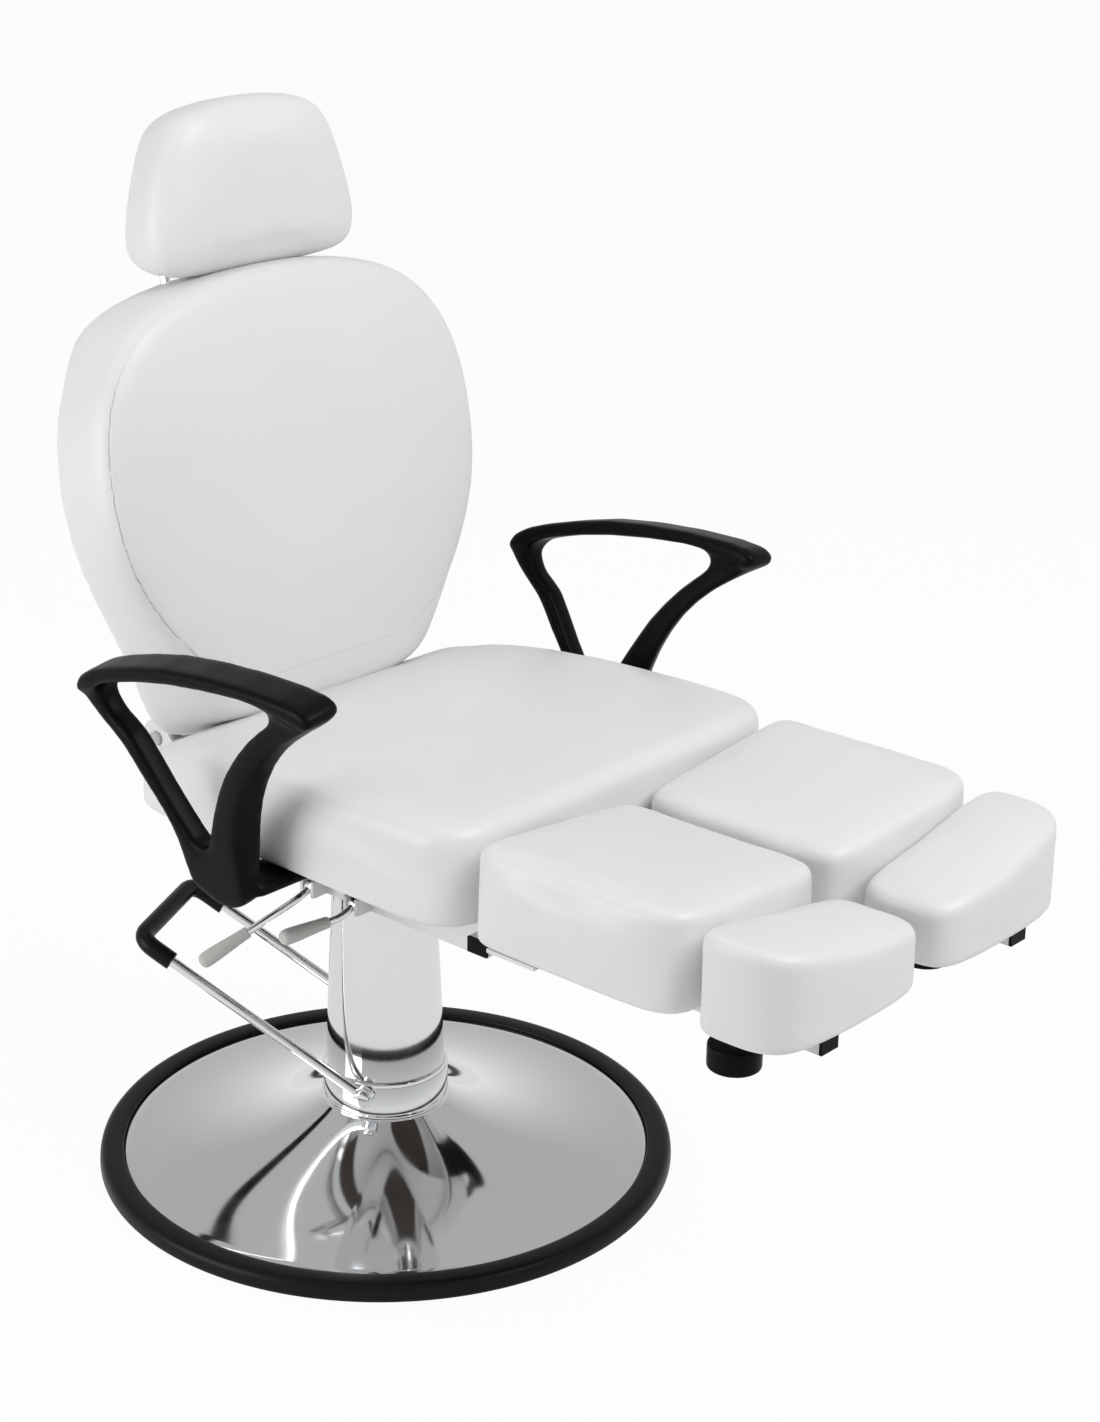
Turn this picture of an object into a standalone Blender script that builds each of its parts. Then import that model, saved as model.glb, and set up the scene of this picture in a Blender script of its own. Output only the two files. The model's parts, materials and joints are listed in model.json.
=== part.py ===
"""Pedicure chair: pump base, swivelling seat, reclining back, two leg rests with sliding foot pads.

Metres, +Z up. The chair faces -Y, its right side is -X, and the origin is on the floor
under the middle of the round base.
"""
import math

import bmesh
import bpy
from mathutils import Matrix, Vector

# Driving dimensions
GAP = 0.0003
FIT = 0.0005

BASE_RADIUS = 0.330
RIM_WIDTH = 0.028
RIM_HEIGHT = 0.020
RIM_ROUND = 0.006
FLOOR_PLATE = 0.006
COVER_WALL = 0.0025
COVER_EDGE = 0.0155
NECK_RADIUS = 0.0725
NECK_HEIGHT = 0.0725
COLLAR_HEIGHT = 0.045
COLLAR_BORE = 0.060
SLEEVE_FOOT_RADIUS = 0.0680
SLEEVE_TOP_RADIUS = 0.0565
SLEEVE_WALL = 0.002
SLEEVE_LENGTH = 0.257
GUIDE_RING = 0.008
RAM_RADIUS = 0.040
RAM_SHOWN = 0.011
CYLINDER_WALL = 0.0075
CYLINDER_FLOOR = 0.018
FLANGE_RADIUS = 0.085
FLANGE_THICK = 0.010
BEARING_THICK = 0.004
SPIGOT_RADIUS = 0.018
SPIGOT_LENGTH = 0.022
HUB_RADIUS = 0.055
HUB_THICK = 0.006

PEDAL_TURN = math.radians(26)
PEDAL_SLOPE = math.radians(31)
PEDAL_LENGTH = 0.309
PEDAL_HALF_WIDTH = 0.0785
PEDAL_ROD = 0.006
PEDAL_GRIP_WALL = 0.0045
PEDAL_GRIP_REACH = 0.045
PEDAL_BEND = 0.022
PEDAL_EYE = 0.012
PEDAL_EYE_THICK = 0.008
PEDAL_PIN = 0.005

SIDE_X = 0.150
SIDE_THICK = 0.004
FRAME_TOP = 0.4625
FRAME_FLANGE = 0.026
CROSSBAR_HALF = 0.070
CROSSBAR_THICK = 0.005
HINGE_TUBE_HALF = 0.222
HINGE_TUBE_DEPTH = 0.025
HINGE_TUBE_HEIGHT = 0.016
HINGE_TUBE_Y = -0.350
TUBE_WALL = 0.002
PLUG_HEAD = 0.003
PLUG_DEPTH = 0.012

SEAT_BOARD = 0.012
SEAT_BOARD_HALF = 0.201
SEAT_BOARD_REAR = 0.139
SEAT_THICK = 0.095
SEAT_FRONT = 0.350
SEAT_REAR = 0.148
SEAT_HALF_FRONT = 0.262
SEAT_HALF_REAR = 0.256
SEAT_CORNER = 0.055
SEAT_REAR_CORNER = 0.045
SEAT_ROUND = 0.034
SEAT_FALL = 0.050
SEAT_FALL_FROM = -0.150
SEAT_CROWN = 0.003
PAD_TUCK = 0.010
PAD_TUCK_HEIGHT = 0.012

LEG_AXIS_DROP = 0.015
LEG_AXIS_SET = 0.042
LEG_X = 0.155
LEG_TUBE_WIDTH = 0.030
LEG_TUBE_HEIGHT = 0.020
LEG_TUBE_OVER = 0.010
LEG_PLATE = 0.003
LEG_PLATE_HALF = 0.086
LEG_PLATE_FRONT = 0.045
LEG_PLATE_REAR = 0.015
LEG_BOARD = 0.010
LEG_THICK = 0.094
LEG_ROUND = 0.026
LEG_FALL = 0.024
LEG_CROWN = 0.002
LEG_REAR_GAP = 0.004
LEG_LENGTH = 0.256
LEG_OUTER = 0.247
LEG_INNER = 0.006
LEG_BOARD_INSET = 0.030
LEG_PIN = 0.004
LEG_PIN_HEAD = 0.007
LEG_PIN_HEAD_THICK = 0.003
LUG_THICK = 0.005
LUG_RADIUS = 0.0078
FOOT_OUTER = 0.238
FOOT_INNER = 0.012
FOOT_GAP = 0.005
FOOT_LENGTH = 0.111
FOOT_THICK = 0.0937
FOOT_ROUND = 0.022
FOOT_FALL = 0.040
FOOT_BOARD = 0.0105
FOOT_BOARD_INSET = 0.030
FOOT_RAIL_REACH = 0.102
FOOT_RAIL_LENGTH = 0.282
KNOB_SET = 0.010
KNOB_BOSS = 0.009
KNOB_BOSS_DROP = 0.008
KNOB_NECK = 0.012
KNOB_EDGE = 0.002
KNOB_RADIUS = 0.026
KNOB_HEIGHT = 0.026
KNOB_DROP = 0.024
STUD_RADIUS = 0.004

BACK_TILT = math.radians(10.5)
BACK_FOOT_Y = 0.084
BACK_FOOT_Z = 0.660
BACK_THICK = 0.095
BACK_BOARD = 0.030
BACK_LOW = -0.110
BACK_HIGH = 0.360
BACK_HALF = 0.278
BACK_BOARD_INSET = 0.045
BACK_CROWN = 0.008
BACK_ROUND = 0.010
BACK_LUMBAR = 0.018
BACK_SKIRT = 0.028
BACK_FLARE_FOOT = 0.100
BACK_FLARE_LOW = 0.46
BACK_FLARE_HEAD = 0.280
BACK_FLARE_HIGH = 0.26
RECLINE_Y = 0.198
RECLINE_Z = 0.498
HINGE_ROD = 0.008
PIVOT_TUBE_WALL = 0.004
BACK_ARM_X = 0.1215
BACK_ARM_THICK = 0.006
BACK_ARM_TOP = 0.240
BACK_ARM_KNEE = -0.039
BACK_FLANGE = 0.004
BACK_ARM_WIDTH = 0.024
CRANK_X = 0.066
CRANK_THICK = 0.006
CRANK_ANGLE = math.radians(32.5)
SPRING_X = 0.085
SPRING_Z = 0.436
SPRING_RADIUS = 0.011
SPRING_ROD = 0.005
SPRING_REAR = -0.060
SPRING_FRONT = 0.105
SPRING_PIN = 0.0045
SPRING_PIN_REACH = 0.008
SPRING_FLOOR = 0.012
SPRING_TRAVEL = 0.080
SPRING_NECK = 0.005
SPRING_NECK_LENGTH = 0.016
SPRING_EYE_HALF = 0.011
SPRING_EYE_TALL = 0.009
SPRING_EYE_OUT = 0.0095
SPRING_EYE_GAP = 0.0035

HEAD_TILT = math.radians(4)
HEAD_RISE = 0.053
HEAD_BEHIND = 0.0204
HEAD_THICK = 0.085
HEAD_HALF = 0.144
HEAD_LOW = -0.060
HEAD_HIGH = 0.117
HEAD_CROWN = 0.006
HEAD_ROUND = 0.046
HEAD_BOARD = 0.010
HEAD_BOARD_HALF = 0.085
HEAD_BOARD_LOW = -0.022
HEAD_BOARD_HIGH = 0.070
HEAD_ROD = 0.006
HEAD_ROD_X = 0.045
HEAD_ROD_SET = 0.0105
HEAD_ROD_BEND = 0.020
HEAD_ROD_OVER = 0.085
HEAD_ROD_DEPTH = 0.210
GUIDE_WALL = 0.005
GUIDE_WEB = 0.005
GUIDE_DEPTH = 0.060
GUIDE_LENGTH = 0.100
BRACKET_HALF = 0.058
BRACKET_DEPTH = 0.047
BRACKET_LOW = -0.014
BRACKET_HIGH = 0.022

ARM_X = 0.312
ARM_LEAN = math.radians(9)
ARM_WIDTH = 0.046
ARM_DEPTH = 0.028
ARM_REST_PROUD = 0.001
ARM_TWIST = 0.49
ARM_TWIST_TOP = 0.690
ARM_TWIST_FOOT = 0.470
ARM_TWIST_FADE = 0.040
ARM_TWIST_REAR = -0.060
ARM_TIP = -0.2575
ARM_LENGTH = 0.352
ARM_TOP = 0.705
ARM_RISE = 0.275
ARM_PIVOT = 0.155
ARM_EDGE = 0.004
ARM_FOOT = 0.012
ARM_FOOT_LENGTH = 0.061
ARM_FOOT_AT = 0.1635
ARM_BOLT_PITCH = 0.036
ARM_BOLT_IN = 0.020
BOLT_RADIUS = 0.003
BOLT_HEAD = 0.007
BOLT_HEAD_HEIGHT = 0.004
BOLT_GRIP = 0.008

LEVER_X = 0.166
LEVER_Z = 0.403
LEVER_ROD = 0.004
LEVER_GRIP = 0.0085
LEVER_GRIP_LENGTH = 0.058
LEVER_EYE = 0.008
LEVER_EYE_WIDTH = 0.011
LEVER_PIN = 0.003

# Heights that follow from the driving dimensions
RIM_INNER = BASE_RADIUS - RIM_WIDTH
PLATE_TOP = FLOOR_PLATE + GAP
CYLINDER_BORE = RAM_RADIUS + FIT
CYLINDER_RADIUS = CYLINDER_BORE + CYLINDER_WALL
COLLAR_FOOT = NECK_HEIGHT + GAP
COLLAR_TOP = COLLAR_FOOT + COLLAR_HEIGHT
SLEEVE_FOOT = COLLAR_TOP + GAP
SLEEVE_TOP = SLEEVE_FOOT + SLEEVE_LENGTH
RING_TOP = SLEEVE_TOP + GAP + GUIDE_RING
RAM_FOOT = PLATE_TOP + CYLINDER_FLOOR + GAP
RAM_TOP = RING_TOP + RAM_SHOWN
BEARING_TOP = RAM_TOP + GAP + BEARING_THICK
HUB_FOOT = BEARING_TOP + GAP
HUB_TOP = HUB_FOOT + HUB_THICK
SPIGOT_TOP = RAM_TOP + SPIGOT_LENGTH
CROSSBAR_FOOT = HUB_TOP + GAP
CROSSBAR_TOP = CROSSBAR_FOOT + CROSSBAR_THICK
SEAT_BOARD_FOOT = FRAME_TOP + GAP
SEAT_FOOT = SEAT_BOARD_FOOT + SEAT_BOARD + GAP
LEG_AXIS_Z = FRAME_TOP - LEG_AXIS_DROP
LEG_AXIS_Y = -SEAT_FRONT - LEG_AXIS_SET
LEG_REAR = -SEAT_FRONT - LEG_REAR_GAP
LEG_FRONT = LEG_REAR - LEG_LENGTH
LEG_TUBE_FRONT = LEG_FRONT - LEG_TUBE_OVER
LEG_TUBE_TOP = LEG_AXIS_Z + LEG_TUBE_HEIGHT / 2
LEG_PLATE_TOP = LEG_TUBE_TOP + LEG_PLATE
KNOB_Y = LEG_TUBE_FRONT + KNOB_SET
HINGE_TUBE_Z = LEG_AXIS_Z
LEG_BOARD_FOOT = LEG_PLATE_TOP + GAP
LEG_FOOT = LEG_BOARD_FOOT + LEG_BOARD + GAP
RAIL_WIDTH = LEG_TUBE_WIDTH - 2 * TUBE_WALL - 2 * FIT
RAIL_HEIGHT = LEG_TUBE_HEIGHT - 2 * TUBE_WALL - 2 * GAP
RAIL_TOP = LEG_AXIS_Z + RAIL_HEIGHT / 2
FOOT_BOARD_FOOT = RAIL_TOP + GAP
FOOT_FOOT = FOOT_BOARD_FOOT + FOOT_BOARD + GAP
FOOT_RAIL_END = LEG_FRONT - FOOT_RAIL_REACH
PEDAL_Z = COLLAR_FOOT + 0.7 * COLLAR_HEIGHT
BACK_TALL = BACK_HIGH - BACK_LOW
HEAD_Y = BACK_FOOT_Y + BACK_HIGH * math.sin(BACK_TILT) + HEAD_BEHIND
HEAD_Z = BACK_FOOT_Z + BACK_HIGH * math.cos(BACK_TILT) + HEAD_RISE
HEAD_TALL = HEAD_HIGH - HEAD_LOW

# Outlines, as shares of a piece's width and height or length
BACK_SHAPE = ((0, 0), (0.3, 0), (0.47, 0.008), (0.575, 0.045), (0.665, 0.125), (0.815, 0.235),
              (0.94, 0.362), (0.985, 0.489), (0.985, 0.628), (0.945, 0.755), (0.831, 0.866), (0.62, 0.951),
              (0.306, 0.991), (0, 1))
HEAD_SHAPE = ((0, 0), (0.55, 0), (0.88, 0.012), (1, 0.095), (1.02, 0.24), (0.955, 0.49), (0.83, 0.76),
              (0.72, 0.91), (0.5, 0.983), (0, 1))
LEG_SHAPE = ((0, 0.05), (0.05, 0), (0.35, 0), (0.65, 0), (0.965, 0), (1, 0.035), (1, 0.34), (1, 0.62),
             (1, 0.86), (0.955, 0.96), (0.86, 1), (0.6, 0.99), (0.34, 0.98), (0.1, 0.965), (0.02, 0.935),
             (0, 0.86), (0, 0.6), (0, 0.33))
FOOT_SHAPE = ((0, 0.12), (0.05, 0), (0.35, 0), (0.65, 0), (0.95, 0), (1, 0.12), (1, 0.4), (0.995, 0.66),
              (0.955, 0.84), (0.86, 0.96), (0.6, 1), (0.34, 1), (0.13, 0.985), (0.03, 0.91), (0, 0.76),
              (0, 0.4))
ARM_REST_TOP = ((0.999, 0.735), (1, 0.767), (0.976, 0.811), (0.925, 0.849), (0.845, 0.885),
                (0.732, 0.925), (0.604, 0.962), (0.447, 0.987), (0.277, 1), (0.121, 1), (0.036, 0.989),
                (0.001, 0.964), (0, 0.935), (0.024, 0.907))
ARM_STRUTS = ((0.17, 0.785), (0.276, 0.649), (0.352, 0.479), (0.394, 0.296), (0.408, 0.118),
              (0.425, 0.047), (0.476, 0.005), (0.538, 0), (0.604, 0.029), (0.649, 0.066), (0.681, 0.225),
              (0.726, 0.334), (0.793, 0.444), (0.859, 0.558), (0.933, 0.636), (0.986, 0.702))
ARM_REST_UNDER = ((0.919, 0.778), (0.888, 0.807), (0.817, 0.838), (0.703, 0.878), (0.575, 0.911),
                  (0.419, 0.938), (0.277, 0.953), (0.197, 0.951))
ARM_HOLE = ((0.173, 0.933), (0.178, 0.904), (0.203, 0.859), (0.298, 0.755), (0.405, 0.595), (0.491, 0.398),
            (0.534, 0.273), (0.562, 0.225), (0.595, 0.229), (0.63, 0.276), (0.713, 0.417), (0.811, 0.6),
            (0.886, 0.669), (0.92, 0.749))

RIGHT = -1
LEFT = 1
SIDES = ((RIGHT, "right"), (LEFT, "left"))


def start():
    """Empty the scene and make the two collections."""
    for old in list(bpy.data.objects):
        bpy.data.objects.remove(old, do_unlink=True)
    made = []
    for name in ("pedicure_chair", "cutters"):
        collection = bpy.data.collections.new(name)
        bpy.context.scene.collection.children.link(collection)
        made.append(collection)
    return made


PARTS, CUTTERS = start()


def material(name, colour, roughness, metallic=0.0):
    made = bpy.data.materials.new(name)
    made.use_nodes = True
    shader = made.node_tree.nodes["Principled BSDF"]
    shader.inputs["Base Color"].default_value = (*colour, 1.0)
    shader.inputs["Roughness"].default_value = roughness
    shader.inputs["Metallic"].default_value = metallic
    return made


CHROME = ("chrome", (0.80, 0.81, 0.82), 0.06, 1.0)
STEEL = ("bright_steel", (0.62, 0.63, 0.64), 0.30, 1.0)
WHITE_STEEL = ("white_steel", (0.80, 0.80, 0.79), 0.40, 0.0)
BLACK_PLASTIC = ("black_plastic", (0.020, 0.020, 0.022), 0.38, 0.0)
BLACK_RUBBER = ("black_rubber", (0.016, 0.016, 0.016), 0.55, 0.0)
GREY_PLASTIC = ("grey_plastic", (0.55, 0.56, 0.56), 0.45, 0.0)
LEATHERETTE = ("white_leatherette", (0.78, 0.78, 0.77), 0.42, 0.0)
PLYWOOD = ("plywood", (0.52, 0.38, 0.23), 0.70, 0.0)


def empty(name, place, parent=None):
    """An empty on a joint's axis, which carries the pieces that move with it."""
    made = bpy.data.objects.new(name, None)
    made.empty_display_size = 0.05
    PARTS.objects.link(made)
    made["place"] = place
    made.parent = parent
    base = Vector(parent["place"]) if parent else Vector((0, 0, 0))
    made.location = Vector(place) - base
    return made


def add(name, mesh, looks, parent, smooth=40):
    """A named piece, modelled in world coordinates and hung on its parent's origin."""
    made = bpy.data.objects.new(name, mesh)
    PARTS.objects.link(made)
    origin = Vector(parent["place"])
    mesh.transform(Matrix.Translation(-origin))
    mesh.materials.clear()
    mesh.materials.append(material(name + "_" + looks[0], *looks[1:]))
    made.parent = parent
    mesh.shade_smooth()
    mesh.set_sharp_from_angle(angle=math.radians(smooth))
    return made


def boolean(target, mesh, operation):
    """Cut or join a mesh given in world coordinates."""
    tool = bpy.data.objects.new(target.name + "_" + operation.lower(), mesh)
    CUTTERS.objects.link(tool)
    tool.hide_render = True
    tool.display_type = "WIRE"
    mesh.transform(Matrix.Translation(-Vector(target.parent["place"])))
    tool.parent = target.parent
    change = target.modifiers.new(operation.title(), "BOOLEAN")
    change.operation = operation
    change.solver = "EXACT"
    change.object = tool


def cut(target, *meshes):
    for mesh in meshes:
        boolean(target, mesh, "DIFFERENCE")


def join(target, *meshes):
    for mesh in meshes:
        boolean(target, mesh, "UNION")


def to_mesh(bm, name="shape"):
    mesh = bpy.data.meshes.new(name)
    bmesh.ops.recalc_face_normals(bm, faces=bm.faces)
    bm.to_mesh(mesh)
    bm.free()
    return mesh


def box(x0, x1, y0, y1, z0, z1, bevel=0.0):
    """A box between two corners, with its edges bevelled where asked."""
    bm = bmesh.new()
    size = Matrix.Diagonal((x1 - x0, y1 - y0, z1 - z0, 1.0))
    middle = Matrix.Translation(((x0 + x1) / 2, (y0 + y1) / 2, (z0 + z1) / 2))
    bmesh.ops.create_cube(bm, size=1.0, matrix=middle @ size)
    if bevel:
        bmesh.ops.bevel(bm, geom=bm.edges, offset=bevel, segments=2, profile=0.5, affect="EDGES")
    return to_mesh(bm)


def side_box(side, x0, x1, y0, y1, z0, z1, bevel=0.0):
    """A box whose x range is measured outwards from the middle on the given side."""
    low, high = sorted((side * x0, side * x1))
    return box(low, high, y0, y1, z0, z1, bevel)


def bar(start_point, end_point, radius, end_radius=None, sides=16):
    """A round bar or cone between two points."""
    first, last = Vector(start_point), Vector(end_point)
    run = last - first
    bm = bmesh.new()
    turn = run.to_track_quat("Z", "Y").to_matrix().to_4x4()
    bmesh.ops.create_cone(
        bm, cap_ends=True, segments=sides, radius1=radius, radius2=end_radius or radius,
        depth=run.length, matrix=Matrix.Translation((first + last) / 2) @ turn)
    return to_mesh(bm)


def crosswise(x0, x1, y, z, radius, sides=16):
    """A round bar from side to side, between two places across."""
    return bar((x0, y, z), (x1, y, z), radius, sides=sides)


def evaluated(obj):
    """The mesh an object evaluates to, welded, with the object and its data removed."""
    bpy.context.view_layer.update()
    graph = bpy.context.evaluated_depsgraph_get()
    mesh = bpy.data.meshes.new_from_object(obj.evaluated_get(graph))
    mesh.transform(obj.matrix_world)
    bpy.data.objects.remove(obj, do_unlink=True)
    bm = bmesh.new()
    bm.from_mesh(mesh)
    bmesh.ops.remove_doubles(bm, verts=bm.verts, dist=0.00002)
    return to_mesh(bm)


def turned(profile, steps=40, matrix=None):
    """A profile of (radius, height) points, running down its outer side, turned about Z."""
    mesh = bpy.data.meshes.new("profile")
    closed = min(radius for radius, _ in profile) > 0
    count = len(profile)
    edges = [(i, i + 1) for i in range(count - 1)] + ([(count - 1, 0)] if closed else [])
    mesh.from_pydata([(radius, 0, height) for radius, height in profile], edges, [])
    obj = bpy.data.objects.new("profile", mesh)
    PARTS.objects.link(obj)
    screw = obj.modifiers.new("Screw", "SCREW")
    screw.angle = math.tau
    screw.steps = screw.render_steps = steps
    screw.use_merge_vertices = True
    screw.merge_threshold = 0.0001
    if matrix:
        obj.matrix_world = matrix
    return evaluated(obj)


def curve_object(name, dimensions):
    data = bpy.data.curves.new(name, "CURVE")
    data.dimensions = dimensions
    obj = bpy.data.objects.new(name, data)
    PARTS.objects.link(obj)
    return obj, data


def add_spline(data, points, cyclic):
    spline = data.splines.new("POLY")
    spline.points.add(len(points) - 1)
    for point, place in zip(spline.points, points):
        point.co = (*place, 0.0, 1.0) if len(place) == 2 else (*place, 1.0)
    spline.use_cyclic_u = cyclic


def plate(outlines, thickness, matrix, bevel=0.0):
    """A flat outline, with holes where more outlines are given, of even thickness about its plane."""
    obj, data = curve_object("plate", "2D")
    data.fill_mode = "BOTH"
    data.extrude = thickness / 2 - bevel
    data.bevel_depth = bevel
    data.bevel_resolution = 1
    data.offset = -bevel
    for outline in outlines:
        add_spline(data, outline, True)
    obj.matrix_world = matrix
    return evaluated(obj)


def tube(points, radius, resolution=2):
    """A rod along a line of points, with closed ends."""
    obj, data = curve_object("tube", "3D")
    data.bevel_depth = radius
    data.bevel_resolution = resolution
    data.use_fill_caps = True
    add_spline(data, points, False)
    return evaluated(obj)


def arc(centre, radius, first, last, count):
    """Points on an arc in a plane, angles in degrees."""
    steps = [math.radians(first + (last - first) * i / (count - 1)) for i in range(count)]
    return [(centre[0] + radius * math.cos(a), centre[1] + radius * math.sin(a)) for a in steps]


def smooth_loop(points, share=3):
    """More points along a closed line, on a smooth curve through the given ones."""
    made = []
    count = len(points)
    for i in range(count):
        p0, p1, p2, p3 = (Vector(points[(i + k) % count]) for k in (-1, 0, 1, 2))
        for step in range(share):
            t = step / share
            made.append(tuple(
                0.5 * (2 * p1 + (p2 - p0) * t + (2 * p0 - 5 * p1 + 4 * p2 - p3) * t * t
                       + (3 * p1 - p0 - 3 * p2 + p3) * t ** 3)))
    return made


def along_axis(place, axis, offset):
    turn = Vector(axis).to_track_quat("Z", "Y").to_matrix().to_4x4()
    return Matrix.Translation(Vector(place) + Vector(axis) * offset) @ turn


def bolt(place, axis, head, head_height, shank, shank_length):
    """A hexagon bolt with its head just before the place and its shank along the axis."""
    bm = bmesh.new()
    bmesh.ops.create_cone(bm, cap_ends=True, segments=6, radius1=head, radius2=head, depth=head_height,
                          matrix=along_axis(place, axis, -head_height / 2))
    far = max(bm.faces, key=lambda face: face.calc_center_median().dot(Vector(axis)))
    bmesh.ops.inset_individual(bm, faces=[far], thickness=(head - shank) * math.cos(math.radians(30)),
                               use_even_offset=True)
    grown = bmesh.ops.extrude_discrete_faces(bm, faces=[far])
    bmesh.ops.translate(bm, vec=Vector(axis) * shank_length, verts=grown["faces"][0].verts)
    return to_mesh(bm)


def hole_cutter(place, axis, radius, depth):
    bm = bmesh.new()
    bmesh.ops.create_cone(bm, cap_ends=True, segments=12, radius1=radius, radius2=radius, depth=depth,
                          matrix=along_axis(place, axis, depth / 2))
    return to_mesh(bm)


def inset(outline, distance):
    """A closed outline moved inwards by a distance along its own normals."""
    count = len(outline)
    middle = sum((Vector(point) for point in outline), Vector((0, 0))) / count
    made = []
    for i in range(count):
        before, here, after = (Vector(outline[(i + k) % count]) for k in (-1, 0, 1))
        along = ((here - before).normalized() + (after - here).normalized()).normalized()
        normal = Vector((-along.y, along.x))
        if normal.dot(middle - here) < 0:
            normal = -normal
        made.append(here + normal * distance)
    return made


def cushion(outline, rings, matrix, fall=None):
    """A soft form: a cage of rings, each the outline drawn in by a distance at a height, then scaled.

    Where fall is given, it says for a point how far the top sinks there.
    """
    bm = bmesh.new()
    loops = []
    crest = rings[-1][1]
    for distance, height, scale in rings:
        points = inset(outline, distance)
        middle = sum(points, Vector((0, 0))) / len(points)
        loop = []
        for point in points:
            place = middle.lerp(point, scale)
            level = 1 - fall(place) / crest if fall else 1
            loop.append(bm.verts.new((place.x, place.y, height * level)))
        loops.append(loop)
    count = len(outline)
    for low, high in zip(loops, loops[1:]):
        for i in range(count):
            k = (i + 1) % count
            bm.faces.new((low[i], low[k], high[k], high[i]))
    bm.faces.new(list(reversed(loops[0])))
    bm.faces.new(loops[-1])
    mesh = to_mesh(bm)
    obj = bpy.data.objects.new("cage", mesh)
    PARTS.objects.link(obj)
    obj.matrix_world = matrix
    soft = obj.modifiers.new("Subdivision", "SUBSURF")
    soft.levels = soft.render_levels = 1
    return evaluated(obj)


def soft_rings(tall, radius, crown):
    """Rings of a seat-like pad: drawn in at its foot, round at its top edge, with a crown."""
    rings = [(PAD_TUCK, 0.0, 0.8), (PAD_TUCK, 0.0, 1), (PAD_TUCK / 10, PAD_TUCK_HEIGHT, 1)]
    for angle in (0, 45, 90):
        turn = math.radians(angle)
        rings.append((radius * (1 - math.cos(turn)), tall - radius * (1 - math.sin(turn)), 1))
    return rings + [(radius, tall + crown, 0.75), (radius, tall + crown, 0.4)]


def mirrored(points):
    """A closed outline from its half at +x, first and last points on the middle line."""
    return list(points) + [(-x, y) for x, y in reversed(points[1:-1])]


# Turns a flat outline of (y, z) points to stand in the plane x = 0
UPRIGHT = Matrix(((0, 0, 1, 0), (1, 0, 0, 0), (0, 1, 0, 0), (0, 0, 0, 1)))


def at_x(x):
    return Matrix.Translation((x, 0, 0)) @ UPRIGHT


# The joints' empties
BASE = empty("base_axis", (0, 0, 0))
PEDAL = empty("pedal_axis", (0, 0, PEDAL_Z), BASE)
LIFT = empty("lift_axis", (0, 0, RAM_FOOT), BASE)
SWIVEL = empty("swivel_axis", (0, 0, HUB_FOOT), LIFT)
RECLINE = empty("recline_axis", (0, RECLINE_Y, RECLINE_Z), SWIVEL)
HEADREST = empty("headrest_slide", (0, HEAD_Y, HEAD_Z), RECLINE)
SPRING = empty("gas_spring_slide", (SPRING_X, RECLINE_Y, SPRING_Z), SWIVEL)
BACK_LEVER_Y = -0.060
LEG_LEVER_Y = -0.125
BACK_LEVER = empty("back_lever_axis", (-LEVER_X, BACK_LEVER_Y, LEVER_Z), SWIVEL)
LEG_LEVER = empty("leg_lever_axis", (-LEVER_X, LEG_LEVER_Y, LEVER_Z), SWIVEL)


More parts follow.
